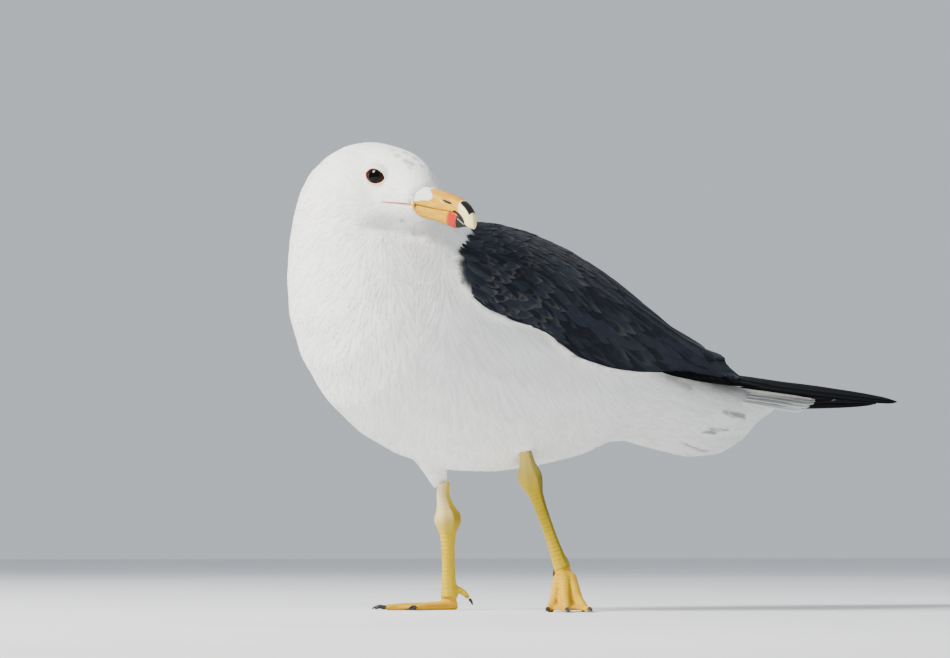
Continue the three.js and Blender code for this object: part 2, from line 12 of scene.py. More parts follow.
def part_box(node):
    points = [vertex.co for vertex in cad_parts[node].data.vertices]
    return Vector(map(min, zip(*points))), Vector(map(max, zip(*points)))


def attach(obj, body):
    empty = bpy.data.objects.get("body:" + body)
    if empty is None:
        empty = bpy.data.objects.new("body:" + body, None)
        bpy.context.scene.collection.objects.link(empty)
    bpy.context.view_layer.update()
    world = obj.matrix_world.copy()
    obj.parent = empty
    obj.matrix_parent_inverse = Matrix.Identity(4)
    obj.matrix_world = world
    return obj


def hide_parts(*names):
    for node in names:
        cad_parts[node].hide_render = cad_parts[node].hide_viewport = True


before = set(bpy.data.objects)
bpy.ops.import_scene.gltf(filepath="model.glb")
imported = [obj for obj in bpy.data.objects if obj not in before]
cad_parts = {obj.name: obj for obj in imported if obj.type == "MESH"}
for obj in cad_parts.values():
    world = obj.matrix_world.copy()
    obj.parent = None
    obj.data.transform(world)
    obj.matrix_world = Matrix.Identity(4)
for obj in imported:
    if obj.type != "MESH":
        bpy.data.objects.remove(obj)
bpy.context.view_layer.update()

# A standing gull with its head turned to its left. The frame is in metres; sizes here are in mm.
mm = 0.001


# places read from the frame
def corners(node):
    low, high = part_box(node)
    return np.array(low), np.array(high)


def unit(v):
    return v / np.maximum(np.linalg.norm(v, axis=-1, keepdims=True), 1e-9)


def middle(node):
    low, high = corners(node)
    return (low + high) / 2


headPlan = {
    "nod": 16.0,         # degrees that the face points down
    "eyeForward": 3.4,   # mm from the head's middle to the eyes
    "eyeUp": 0.4,
}


def headFrame():
    left = unit(middle("eye_left") - middle("eye_right"))
    flat = np.cross(left, [0, 0, 1])
    nod = math.radians(headPlan["nod"])
    forward = unit(flat) * math.cos(nod) - np.array([0, 0, math.sin(nod)])
    up = np.cross(forward, left)
    eyes = (middle("eye_left") + middle("eye_right")) / 2
    centre = eyes - mm * (headPlan["eyeForward"] * forward + headPlan["eyeUp"] * up)
    return centre, np.array([forward, left, up])


headCentre, headAxes = headFrame()


# mm along the bill, to the left and up, from the head's middle
def toHead(points):
    return (points - headCentre) @ headAxes.T / mm


def fromHead(places):
    return headCentre + np.asarray(places) @ headAxes * mm


# the body's own middle: between the wings, and a fixed way ahead of their ends
bodyMiddle = np.array([
    corners("wing_left")[0][0] + 170 * mm,
    (corners("wing_left")[1][1] + corners("wing_right")[0][1]) / 2,
    0,
])


def toBody(points):
    return (points - bodyMiddle) / mm


def fromBody(places):
    return bodyMiddle + np.asarray(places, float) * mm


def ramp(value, low, high):
    t = np.clip((value - low) / (high - low), 0, 1)
    return t * t * (3 - 2 * t)


# a smooth line through places, evenly stepped from one to the next
def courseThrough(places, count):
    places = np.asarray(places, float)
    last = len(places) - 1
    u = np.linspace(0, last, count)
    i = np.minimum(u.astype(int), last - 1)
    t = (u - i)[:, None]
    a, b, c, d = (places[np.clip(i + k, 0, last)] for k in (-1, 0, 1, 2))
    square, cube = 2 * a - 5 * b + 4 * c - d, 3 * b - a - 3 * c + d
    return 0.5 * (2 * b + (c - a) * t + square * t ** 2 + cube * t ** 3)


eyePlan = {
    "centre": (3.4, 13.6, 0.4),     # mm from the head's middle, for the left eye
    "radius": 8.35,
    "gaze": (0.40, 0.915, 0.03),
    "pupil": 3.0,                   # mm, radius on the ball
    "iris": 5.7,
    "cornea": 0.35,                 # mm that the clear front stands out
    "opening": (5.75, 4.05),        # half its width and height between the lids
    "backCorner": 1.2,              # mm that the back corner is drawn out to a point
    "frontCorner": 0.2,
    "relief": 5.5,                  # mm round the lids where the face dips to the eye
    "dip": 0.5,                     # mm that the skin lies under the lids
}


# the eye's middle, and the ways forward, up and out of its opening
def eyeFrame(side):
    centre = np.array(eyePlan["centre"]) * [1, side, 1]
    out = unit(np.array(eyePlan["gaze"]) * [1, side, 1])
    ahead = unit(np.array([1.0, 0, 0]) - out * out[0])
    return centre, ahead, side * np.cross(ahead, out), out


# the edge of the opening at each turn round it (0 is the front, a quarter turn the top)
def lidEdge(turn):
    half, high = eyePlan["opening"]
    across, up = half * np.cos(turn), high * np.sin(turn)
    backward = np.abs((turn + math.pi) % (2 * math.pi) - math.pi)
    across = across - eyePlan["backCorner"] * np.exp(-((math.pi - backward) / 0.30) ** 2)
    across = across + eyePlan["frontCorner"] * np.exp(-(backward / 0.30) ** 2)
    return across, up


# places by the eye as mm ahead, up and out, and how far each lies outside the lids' edge
def aroundEye(head, side):
    centre, ahead, up, out = eyeFrame(side)
    away = head - centre
    a, b, h = away @ ahead, away @ up, away @ out
    half, high = eyePlan["opening"]
    turn = np.arctan2(b / high, a / half)
    edgeA, edgeB = lidEdge(turn)
    reach = np.hypot(a, b) - np.hypot(edgeA, edgeB)
    return a, b, h, reach


def eyeBallAt(a, b):
    return np.sqrt(np.maximum(eyePlan["radius"] ** 2 - a ** 2 - b ** 2, 0.0))


# meshes
def keepValues(mesh, values):
    for key, value in values.items():
        layer = mesh.attributes.new(key, "FLOAT", "POINT")
        layer.data.foreach_set("value", np.ascontiguousarray(value, np.float32).ravel())


def setPoints(mesh, points):
    mesh.vertices.foreach_set("co", points.astype(np.float32).ravel())
    mesh.update()
    mesh.polygons.foreach_set("use_smooth", np.ones(len(mesh.polygons), bool))


# a mesh of one face size, with its float values kept on the points
def makeMesh(name, points, faces, values=None):
    points = np.ascontiguousarray(points, np.float32)
    faces = np.ascontiguousarray(faces, np.int32)
    mesh = bpy.data.meshes.new(name)
    mesh.vertices.add(len(points))
    mesh.vertices.foreach_set("co", points.ravel())
    mesh.loops.add(faces.size)
    mesh.loops.foreach_set("vertex_index", faces.ravel())
    mesh.polygons.add(len(faces))
    mesh.polygons.foreach_set("loop_start", np.arange(0, faces.size, faces.shape[1], dtype=np.int32))
    mesh.update(calc_edges=True)
    mesh.validate()
    mesh.polygons.foreach_set("use_smooth", np.ones(len(faces), bool))
    keepValues(mesh, values or {})
    return mesh


def makePiece(name, points, faces, values=None):
    piece = bpy.data.objects.new(name, makeMesh(name, points, faces, values))
    bpy.context.scene.collection.objects.link(piece)
    return piece


def readAll(items, key, width, kind=np.float32):
    flat = np.empty(len(items) * width, kind)
    items.foreach_get(key, flat)
    return flat.reshape(-1, width)


def pointsOf(mesh):
    return readAll(mesh.vertices, "co", 3).astype(float)


def normalsOf(mesh):
    return readAll(mesh.vertex_normals, "vector", 3).astype(float)


def trianglesOf(mesh):
    mesh.calc_loop_triangles()
    return readAll(mesh.loop_triangles, "vertices", 3, np.int32)


# the point at each corner of each face
def cornerPoints(mesh):
    return readAll(mesh.loops, "vertex_index", 1, np.int32)[:, 0]


# a ring of rings as triangles, closed at both ends
def tube(rows, columns, closeEnds=True):
    faces = []
    for r in range(rows - 1):
        for c in range(columns):
            a, b = r * columns + c, r * columns + (c + 1) % columns
            faces += [(a, b, b + columns), (a, b + columns, a + columns)]
    if closeEnds:
        last = (rows - 1) * columns
        for c in range(1, columns - 1):
            faces += [(0, c + 1, c), (last, last + c, last + c + 1)]
    return np.array(faces)


def ballShape():
    tilt = np.linspace(0.15, math.pi - 0.15, 9)[:, None]
    turn = np.linspace(0, 2 * math.pi, 14, endpoint=False)[None]
    rings = [np.sin(tilt) * np.cos(turn), np.sin(tilt) * np.sin(turn), np.cos(tilt) + 0 * turn]
    return np.stack(rings, -1).reshape(-1, 3)


# one closed mesh over copies of the nodes, each swollen a little so that their gaps close
def remeshed(name, nodes, voxel, swell=0.0, balls=()):
    parts, faces, count = [], [], 0
    for centre, radius in balls:
        parts.append(np.asarray(centre) + ballShape() * radius)
        faces.append(tube(9, 14) + count)
        count += 9 * 14
    for node in nodes:
        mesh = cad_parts[node].data
        parts.append(pointsOf(mesh) + normalsOf(mesh) * swell)
        faces.append(trianglesOf(mesh) + count)
        count += len(mesh.vertices)
    piece = makePiece(name, np.concatenate(parts), np.concatenate(faces))
    remesh = piece.modifiers.new("Remesh", "REMESH")
    remesh.mode = "VOXEL"
    remesh.voxel_size = voxel
    evaluated = piece.evaluated_get(bpy.context.evaluated_depsgraph_get())
    piece.data = bpy.data.meshes.new_from_object(evaluated)
    piece.modifiers.clear()
    return piece


# the points, lie and neighbours of a mesh, for everything that grows on it
class Surface:
    def __init__(self, mesh):
        self.points = pointsOf(mesh)
        self.normals = normalsOf(mesh)
        self.triangles = trianglesOf(mesh)
        self.edges = readAll(mesh.edges, "vertices", 2, np.int32)
        self.degree = np.bincount(self.edges.ravel(), minlength=len(self.points))[:, None]

    def plant(self):
        self.faces = BVHTree.FromPolygons(self.points.tolist(), self.triangles.tolist())
        self.tree = KDTree(len(self.points))
        for index, point in enumerate(self.points):
            self.tree.insert(point, index)
        self.tree.balance()

    # the mean of each point's neighbours
    def around(self, values):
        flat = values if values.ndim > 1 else values[:, None]
        total = np.zeros_like(flat)
        a, b = self.edges.T
        for column in range(flat.shape[1]):
            total[:, column] += np.bincount(a, flat[b, column], len(flat))
            total[:, column] += np.bincount(b, flat[a, column], len(flat))
        return (total / self.degree).reshape(values.shape)

    def smooth(self, values, times):
        for _ in range(times):
            values = values * 0.5 + self.around(values) * 0.5
        return values

    def nearest(self, places):
        find = self.tree.find
        return np.array([find(place)[1] for place in places])

    # mm along the surface from the nearest of the starting points
    def farFrom(self, starts):
        links = [[] for _ in self.points]
        lengths = np.linalg.norm(self.points[self.edges[:, 0]] - self.points[self.edges[:, 1]], axis=1) / mm
        for (a, b), length in zip(self.edges.tolist(), lengths.tolist()):
            links[a].append((b, length))
            links[b].append((a, length))
        far = [1e9] * len(links)
        waiting = [(0.0, int(start)) for start in starts]
        for _, start in waiting:
            far[start] = 0.0
        while waiting:
            gone, here = heapq.heappop(waiting)
            if gone > far[here]:
                continue
            for there, length in links[here]:
                reach = gone + length
                if reach < far[there]:
                    far[there] = reach
                    heapq.heappush(waiting, (reach, there))
        return np.minimum(np.array(far), 900)

    # which way the values grow, along the surface
    def slope(self, values):
        a, b = self.edges.T
        step = self.points[b] - self.points[a]
        rise = ((values[b] - values[a]) / (step ** 2).sum(1))[:, None] * step
        total = np.zeros_like(self.points)
        for column in range(3):
            total[:, column] += np.bincount(a, rise[:, column], len(total))
            total[:, column] += np.bincount(b, rise[:, column], len(total))
        return self.flatten(total)

    def flatten(self, ways):
        ways = ways - self.normals * (ways * self.normals).sum(1, keepdims=True)
        return unit(ways)


# skin
skinPlan = {
    "voxel": 1.9,        # mm
    "swell": 0.35,       # mm, closes the gaps between the parts
    "smoothing": 6,
    "coat": 0.5,         # mm from the skin to the tips of the coat
    "faceCoat": 0.3,
    "crownCoat": 0.25,
}
fleshNodes = ["head", "neck", "trunk", "wing_left", "wing_right", "thigh_left", "thigh_right"]


def nodeDistance(node, points):
    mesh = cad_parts[node].data
    tree = BVHTree.FromPolygons(pointsOf(mesh).tolist(), trianglesOf(mesh).tolist())
    return np.array([tree.find_nearest(p)[3] for p in points]) / mm


# one folded wing's upright slices: where they are, their lowest and highest points, and how far out the
# lowest one is
def wingSlices(name):
    outline = np.round(toBody(pointsOf(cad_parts["wing_" + name].data)), 1)
    places = np.unique(outline[:, 0])
    places = places[np.insert(np.diff(places) > 2, 0, True)]
    rings = [outline[np.abs(outline[:, 0] - x) < 1.5] for x in places]
    low = np.array([ring[:, 2].min() for ring in rings])
    top = np.array([ring[:, 2].max() for ring in rings])
    out = np.array([np.abs(ring[ring[:, 2].argmin(), 1]) for ring in rings])
    return places, low, top, out


def slateZone(points):
    body = toBody(points)
    wing = np.minimum(nodeDistance("wing_left", points), nodeDistance("wing_right", points))
    places, low, _, _ = wingSlices("left")
    aboveEdge = body[:, 2] > np.interp(body[:, 0], places, low) + 1.0
    # the back between the wings is slate too, behind the hind neck and as far as the rump
    between = (np.abs(body[:, 1]) < 30) & (body[:, 0] < 40) & (body[:, 0] > -135)
    between &= body[:, 2] > 138 + 0.35 * (body[:, 0] + 170)
    zone = np.where((wing < 1.6) & aboveEdge | between, 1.0, 0.0)
    # a roll of white feathers lies over the wing's front
    for x, y, z, reach, _ in fullOnBody[frontRoll:]:
        zone = np.where(np.linalg.norm(body - [x, y, z], axis=1) < 0.6 * reach, 0.0, zone)
    zone = np.where((body[:, 0] < -140) & (body[:, 2] > 144.5) & (np.abs(body[:, 1]) > 13), 1.0, zone)
    return zone


# round each eye the skin dips to the lids, and inside them it lies behind the ball
def dipAtEyes(points):
    head = toHead(points)
    for side in (1, -1):
        _, _, _, out = eyeFrame(side)
        a, b, h, reach = aroundEye(head, side)
        near = (h > 0) & (reach < eyePlan["relief"]) & (np.hypot(a, b) < 14)
        edgeShare = np.hypot(a, b) / np.maximum(np.hypot(a, b) - reach, 0.1)
        rim = eyeBallAt(a / np.maximum(edgeShare, 1), b / np.maximum(edgeShare, 1)) - eyePlan["dip"]
        behind = eyeBallAt(a, b) - 1.8
        wanted = np.where(reach < 0, behind, rim + (h - rim) * ramp(reach, 0, eyePlan["relief"]))
        inside = 1 - ramp(reach, -1.2, 0.4)
        wanted = np.where(reach < 0.4, behind * inside + rim * (1 - inside), wanted)
        move = np.where(near, np.minimum(wanted - h, 0.6), 0.0)
        head = head + move[:, None] * out
    return fromHead(head)


throatPlan = {
    # mm ahead, aside and up from the head's middle: where the head sits down into the neck
    "line": ((-8, 38, -26.5), (5, 32.5, -28.5), (13, 25.5, -29), (17, 19, -27.2), (19.6, 12.8, -27),
             (24, 3, -28)),
    "depth": (1.2, 2.4, 3.6, 4.6, 4.8, 4.0),
    "reach": 4.6,
}
# where the plumage stands fuller or thinner: the place, how far it reaches and by how much, all in mm
fullOnHead = ((24, 6, 7, 9, 1.5), (24, -6, 7, 9, 1.0), (29, 9.5, -4, 7, 1.5), (29, -9.5, -4, 7, 1.5))
fullOnBody = (
    (166, 5, 185, 34, 1.9),
    (10, 42, 101, 7, 3.2),
    (-152, 22, 157, 13, -3.5),
    (-152, -22, 157, 13, -3.5),
    (73, 52.5, 215, 4, 1.2),
    (69.5, 54, 213, 4, 1.3),
    (67.5, 56, 209, 4, 1.2),
)
# from this one on they are the roll over the wing's front
frontRoll = 4


def fillOut(points, normals):
    swell = np.zeros(len(points))
    for places, spots in ((toHead(points), fullOnHead), (toBody(points), fullOnBody)):
        for x, y, z, reach, amount in spots:
            wave = amount * np.exp(-(np.linalg.norm(places - [x, y, z], axis=1) / reach) ** 2)
            swell = np.where(np.abs(wave) > np.abs(swell), wave, swell)
    return points + normals * swell[:, None] * mm


# the fold between the head and the neck, the same on both sides
def foldAtThroat(points, normals):
    head = toHead(points)
    mirrored = head * [1, 0, 1] + np.abs(head[:, 1:2]) * [0, 1, 0]
    line = courseThrough(throatPlan["line"], 60)
    deep = np.interp(np.linspace(0, 1, 60), np.linspace(0, 1, 6), throatPlan["depth"])
    depth = np.zeros(len(points))
    for place, most in zip(line, deep):
        away = np.linalg.norm(mirrored - place, axis=1)
        depth = np.maximum(depth, most * np.exp(-(away / throatPlan["reach"]) ** 2))
    return points - normals * depth[:, None] * mm


# feathers part in front of an eye and pass over and under it
def lieRoundEyes(points, lie):
    head = toHead(points)
    for side in (1, -1):
        _, ahead, up, _ = eyeFrame(side)
        a, b, h, reach = aroundEye(head, side)
        outward = unit(a[:, None] * ahead + 1.6 * b[:, None] * up) @ headAxes
        inward = np.minimum((lie * outward).sum(1), 0)
        share = (1 - ramp(reach, 0.5, 7.0)) * (h > -2) * (head[:, 1] * side > 8)
        lie = unit(lie - outward * (inward * share)[:, None])
    return lie


def buildSkin():
    nodes = fleshNodes + ["eye_left", "eye_right"]
    # the ball stops the bill's socket, so that the forehead keeps its shape
    ball = (fromHead([22, 0, -8]), 7.5 * mm)
    skin = remeshed("skin", nodes, skinPlan["voxel"] * mm, skinPlan["swell"] * mm, [ball])
    surface = Surface(skin.data)
    points = surface.smooth(surface.points, skinPlan["smoothing"])
    head = toHead(points)
    slate = surface.smooth(slateZone(points), 3)
    fromHeadMiddle = np.linalg.norm(head, axis=1)
    onCrown = 1 - ramp(fromHeadMiddle, 24, 52)
    coat = skinPlan["coat"] + (skinPlan["crownCoat"] - skinPlan["coat"]) * onCrown
    coat = coat + (skinPlan["faceCoat"] - coat) * ramp(head[:, 0], 4, 26) * (fromHeadMiddle < 60)
    coat = surface.smooth(coat, 8)
    setPoints(skin.data, points)
    normals = normalsOf(skin.data)
    points = foldAtThroat(fillOut(points, normals), normals)
    points = dipAtEyes(points - normals * coat[:, None] * mm)
    setPoints(skin.data, points)
    surface = Surface(skin.data)
    surface.plant()
    surface.coat = coat
    surface.slate = slate
    # on the head feathers lie away from the bill, and below it away from the head
    reach = np.linalg.norm(toHead(surface.points), axis=1)
    fromBill = surface.smooth(surface.farFrom(surface.nearest([fromHead([36, 0, -8])])), 12)
    fromNeck = surface.smooth(surface.farFrom(np.flatnonzero(reach < 27)), 12)
    surface.far = fromNeck
    onBody = ramp(reach, 24, 46)[:, None]
    lie = surface.slope(fromBill) * (1 - onBody) + surface.slope(fromNeck) * onBody
    # and behind the legs they point to the rear
    behind = 0.85 * ramp(-toBody(surface.points)[:, 0], 10, 90)[:, None]
    lie = unit(lie) * (1 - behind) + np.array([-1.0, 0, 0]) * behind
    lie = surface.flatten(surface.smooth(unit(lie), 10))
    surface.lie = surface.flatten(surface.smooth(lieRoundEyes(surface.points, lie), 2))
    # the skin's normals without its small dents, for the feathers' shading
    surface.soft = unit(surface.smooth(surface.normals, 6))
    return skin, surface


skin, surface = buildSkin()
print("skin", len(surface.points), "points, coat", surface.coat.min(), surface.coat.max())


# small shader tools
# a screen colour as linear light
def colour(hexText):
    screen = [int(hexText[i:i + 2], 16) / 255 for i in (0, 2, 4)]
    return tuple(v / 12.92 if v <= 0.04045 else ((v + 0.055) / 1.055) ** 2.4 for v in screen) + (1.0,)


def tints(looks):
    return {key: colour(value) for key, value in looks.items()}


# the nodes of one material or group, made and joined by name
class Sheet:
    def __init__(self, tree):
        self.tree = tree

    def add(self, kind, values=None, **settings):
        node = self.tree.nodes.new(kind)
        for key, value in settings.items():
            setattr(node, key, value)
        self.fill(node, values or {})
        return node

    def fill(self, node, values):
        for key, value in values.items():
            self.give(node.inputs[key], value)

    def give(self, socket, value):
        if isinstance(value, bpy.types.NodeSocket):
            self.tree.links.new(value, socket)
        else:
            socket.default_value = value

    def value(self, name):
        return self.add("ShaderNodeAttribute", attribute_name=name).outputs["Fac"]

    def math(self, operation, a, b=0.0):
        return self.add("ShaderNodeMath", {0: a, 1: b}, operation=operation).outputs[0]

    def mix(self, share, a, b, blend="MIX"):
        values = {0: share, 6: a, 7: b}
        node = self.add("ShaderNodeMix", values, data_type="RGBA", blend_type=blend, clamp_factor=True)
        return node.outputs[2]

    def span(self, value, low, high, outLow=0.0, outHigh=1.0):
        values = {"Value": value, "From Min": low, "From Max": high, "To Min": outLow, "To Max": outHigh}
        return self.add("ShaderNodeMapRange", values, interpolation_type="SMOOTHSTEP").outputs[0]

    def noise(self, scale, detail, place):
        values = {"Scale": scale, "Detail": detail, "Roughness": 0.55, "Vector": place}
        return self.add("ShaderNodeTexNoise", values).outputs["Fac"]

    # where the surface is, in metres, stretched along each axis
    def place(self, stretch=(1, 1, 1)):
        where = self.add("ShaderNodeTexCoord").outputs["Object"]
        return self.add("ShaderNodeMapping", {"Vector": where, "Scale": stretch}).outputs[0]


# an empty group of nodes with its named sockets: (name, kind, value) for each input
def newGroup(name, inputs, outputs):
    tree = bpy.data.node_groups.new(name, "ShaderNodeTree")
    for socket, kind, value in inputs:
        made = tree.interface.new_socket(socket, in_out="INPUT", socket_type="NodeSocket" + kind)
        made.default_value = value
    for socket, kind in outputs:
        tree.interface.new_socket(socket, in_out="OUTPUT", socket_type="NodeSocket" + kind)
    sheet = Sheet(tree)
    return sheet, sheet.add("NodeGroupInput").outputs, sheet.add("NodeGroupOutput").inputs


def newMaterial(name):
    material = bpy.data.materials.new(name)
    material.use_nodes = True
    sheet = Sheet(material.node_tree)
    shader = material.node_tree.nodes["Principled BSDF"]
    return material, sheet, shader


# fine relief over a material, its depth in mm
def roughen(sheet, shader, strength, depth, height):
    lump = sheet.add("ShaderNodeBump", {"Strength": strength, "Distance": depth * mm, "Height": height})
    sheet.give(shader.inputs["Normal"], lump.outputs[0])


def useGroup(sheet, group, values):
    return sheet.add("ShaderNodeGroup", values, node_tree=group).outputs


def finish(piece, material, slot, *nodes):
    piece.data.materials.clear()
    piece.data.materials.append(material)
    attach(piece, "root")
    if nodes:
        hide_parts(*nodes)


# plumage colours
plumage = {
    "white": "FBFBF8",
    "whiteShade": "E9E8E2",   # the same white deeper in the coat
    "slate": "2C3039",
    "slateDeep": "181B22",
    "slateWorn": "605D5A",    # brownish fringes of the coverts
    "tipWhite": "B9BDC8",
    "black": "040406",
    # grey of the dark marks, some of which are painted shade
    "smudgeAndShade": "70716F",
}
# the group's socket for each of them
plumageSockets = {"White": "white", "White Shade": "whiteShade", "Slate": "slate", "Slate Deep": "slateDeep",
                  "Worn": "slateWorn", "Tip": "tipWhite", "Black": "black", "Smudge And Shade": "smudgeAndShade"}


# fine barbs that slant back from a feather's shaft, as height and as shade
def vaneGrain():
    sheet, given, out = newGroup(
        "vaneGrain",
        [("Barbs", "Float", 46.0), ("Slant", "Float", 0.6), ("Wander", "Float", 0.35)],
        [("Height", "Float"), ("Shade", "Float")])
    along, across = sheet.value("along"), sheet.value("across")
    off = sheet.math("ABSOLUTE", across)
    slant = sheet.math("ADD", along, sheet.math("MULTIPLY", off, given["Slant"]))
    wander = sheet.noise(900.0, 2.0, sheet.place())
    share = sheet.math("DIVIDE", given["Wander"], given["Barbs"])
    phase = sheet.math("ADD", slant, sheet.math("MULTIPLY", wander, share))
    turns = sheet.math("MULTIPLY", given["Barbs"], 6.283)
    wave = sheet.math("SINE", sheet.math("MULTIPLY", phase, turns))
    barb = sheet.math("ADD", sheet.math("MULTIPLY", wave, 0.5), 0.5)
    shaft = sheet.span(off, 0.10, 0.02)
    sheet.give(out["Height"], sheet.math("ADD", barb, shaft))
    sheet.give(out["Shade"], barb)
    return sheet.tree


# the bird's markings, the same on the skin and on every feather
def plumageMarks():
    sheet, given, out = newGroup(
        "plumageMarks",
        [(name, "Color", (1, 1, 1, 1)) for name in plumageSockets] + [("Grain", "Float", 0.5)],
        [("Color", "Color"), ("Dark", "Float")])
    tone = sheet.value("tone")
    slateMask, blackMask = sheet.value("slate"), sheet.value("black")
    patch = sheet.noise(38.0, 4.0, sheet.place((1, 1, 1.6)))
    depth = sheet.span(sheet.math("ADD", sheet.math("MULTIPLY", tone, 0.25), patch), 0.62, 0.38)
    white = sheet.mix(sheet.math("MULTIPLY", depth, 0.45), given["White"], given["White Shade"])
    slate = sheet.mix(sheet.math("MULTIPLY", depth, 0.8), given["Slate"], given["Slate Deep"])
    slate = sheet.mix(sheet.value("worn"), slate, given["Worn"])
    base = sheet.mix(slateMask, white, slate)
    base = sheet.mix(blackMask, base, given["Black"])
    base = sheet.mix(sheet.value("pale"), base, given["Tip"])
    base = sheet.mix(sheet.value("smudgeAndShade"), base, given["Smudge And Shade"])
    shade = sheet.math("ADD", sheet.math("MULTIPLY", given["Grain"], 0.10), 0.93)
    shade = sheet.math("ADD", shade, sheet.math("MULTIPLY", tone, 0.035))
    grey = sheet.add("ShaderNodeCombineColor", {0: shade, 1: shade, 2: shade}).outputs[0]
    base = sheet.mix(1.0, base, grey, "MULTIPLY")
    sheet.give(out["Color"], base)
    sheet.give(out["Dark"], sheet.math("MAXIMUM", slateMask, blackMask))
    return sheet.tree


grainGroup, marksGroup = vaneGrain(), plumageMarks()


def plumageMaterial(name, barbs, bump, roughness, sheen):
    material, sheet, shader = newMaterial(name)
    grain = useGroup(sheet, grainGroup, {"Barbs": barbs})
    given = {socket: colour(plumage[key]) for socket, key in plumageSockets.items()}
    marks = useGroup(sheet, marksGroup, {**given, "Grain": grain["Shade"]})
    sheet.fill(shader, {
        "Base Color": marks["Color"],
        "Roughness": sheet.span(marks["Dark"], 0.0, 1.0, roughness, roughness - 0.16),
        "Specular IOR Level": sheet.span(marks["Dark"], 0.0, 1.0, 0.25, 0.04),
        "Sheen Weight": sheen,
        "Sheen Roughness": 0.4,
    })
    roughen(sheet, shader, bump, 0.2, grain["Height"])
    return material


feather = plumageMaterial("feather", 14.0, 0.4, 0.8, 0.04)
quill = plumageMaterial("quill", 60.0, 0.12, 0.7, 0.0)
down = plumageMaterial("down", 9.0, 0.14, 0.85, 0.3)
print("plumage materials made")


# where each feather grows
# the skin's own unwrap, which gives every feather its patch of colour
def unwrapSkin():
    bpy.context.view_layer.objects.active = skin
    skin.select_set(True)
    skin.data.uv_layers.new(name="OFBake")
    bpy.ops.object.mode_set(mode="EDIT")
    bpy.ops.mesh.select_all(action="SELECT")
    bpy.ops.uv.smart_project(angle_limit=math.radians(66), island_margin=0.002)
    bpy.ops.object.mode_set(mode="OBJECT")
    skin.select_set(False)
    patch = np.zeros((len(surface.points), 2))
    patch[cornerPoints(skin.data)] = readAll(skin.data.uv_layers["OFBake"].data, "uv", 2)
    return patch


surface.patch = unwrapSkin()


# places on the skin, each at least its own spacing (mm) from the others; the skin's points carry the
# spacing and whether a feather may grow there
def sowRoots(spacing, allowed, seed):
    luck = np.random.default_rng(seed)
    corner = surface.points[surface.triangles]
    area = np.linalg.norm(np.cross(corner[:, 1] - corner[:, 0], corner[:, 2] - corner[:, 0]), axis=1) / 2
    gap = spacing[surface.triangles].mean(1)
    keep = allowed[surface.triangles].all(1)
    weight = np.where(keep, area / (gap * mm) ** 2, 0)
    tries = int(weight.sum() * 3.2)
    chosen = luck.choice(len(weight), tries, p=weight / weight.sum())
    a, b = luck.random((2, tries))
    flip = a + b > 1
    a, b = np.where(flip, 1 - a, a), np.where(flip, 1 - b, b)
    shares = np.stack([1 - a - b, a, b], 1)
    spots = (corner[chosen] * shares[:, :, None]).sum(1)
    gaps = gap[chosen] * mm
    cell = float(gaps.max())
    cells = {}
    kept = []
    keys = np.floor(spots / cell).astype(int).tolist()
    rows = spots.tolist()
    steps = list(itertools.product((-1, 0, 1), repeat=3))
    for index, ((x, y, z), spot, near) in enumerate(zip(keys, rows, gaps.tolist())):
        others = (other for i, j, k in steps for other in cells.get((x + i, y + j, z + k), ()))
        if all((p - spot[0]) ** 2 + (q - spot[1]) ** 2 + (r - spot[2]) ** 2 >= near * near
               for p, q, r in others):
            cells.setdefault((x, y, z), []).append(spot)
            kept.append(index)
    return spots[kept]


# feathers as thin vanes
# the triangles of one vane's grid, repeated for each feather
def vaneFaces(rows, columns, count):
    faces = []
    for r in range(rows - 1):
        for c in range(columns - 1):
            a = r * columns + c
            b, d, e = a + 1, a + columns, a + columns + 1
            faces += [(a, e, b), (a, d, e)] if c < columns // 2 else [(a, d, b), (b, d, e)]
    faces = np.array(faces)
    step = np.arange(count)[:, None, None] * rows * columns
    return (faces[None] + step).reshape(-1, 3)


# points of every vane: its middle line, spread to the sides and bent down at the edges
def growVanes(centre, aside, upward, half, across, alongs, camber):
    columns = len(across)
    spread = aside[:, :, None] * (half[:, :, None, None] * across[None, None, :, None])
    bend = upward[:, :, None] * (-camber * half[:, :, None, None] * (across ** 2)[None, None, :, None])
    points = centre[:, :, None] + spread + bend
    count, rows = half.shape
    values = {
        "along": np.broadcast_to(alongs[None, :, None], (count, rows, columns)).ravel(),
        "across": np.broadcast_to(across[None, None, :], (count, rows, columns)).ravel(),
    }
    return points, values


# each feather's small square of colour, at its root's place on the skin's unwrap
patchHalf = 0.0015


def patchesAt(near, across, alongs):
    square = np.stack(np.broadcast_arrays(across[None, :], alongs[:, None] * 2 - 1), -1)
    return (surface.patch[near][:, None, None] + patchHalf * square[None]).reshape(-1, 2)


# one piece of the coat, with its patches of colour named OFBake
def addCoat(name, points, values, faces, patch, normals=None):
    piece = makePiece(name, points, faces, values)
    layer = piece.data.uv_layers.new(name="OFBake")
    layer.data.foreach_set("uv", patch[cornerPoints(piece.data)].astype(np.float32).ravel())
    if normals is not None:
        piece.data.normals_split_custom_set_from_vertices(normals.tolist())
    return piece


# the soft coat of head, neck and body
coatPlan = {
    # mm between roots, feather length and how wide a feather is against the gap
    "face": (0.95, 2.9, 1.45),
    "crown": (1.25, 5.0, 1.4),
    "neck": (1.75, 8.5, 1.35),
    "body": (2.25, 12.5, 1.4),
    "vent": (2.4, 19.0, 1.35),
    "thigh": (1.6, 6.5, 1.4),
    "lift": 0.62,        # share of the coat's depth that a tip stands off the skin
    "ragged": 0.55,      # how deep the barbs part at a feather's edge
    "stray": 8.0,        # degrees that a feather may turn from the lie
    "roundness": 0.16,
    "tipTurn": 0.10,
    "overWing": 1.2,     # mm that a white feather may reach over the wing
    "rows": 7,
    "perPiece": 8000,
}


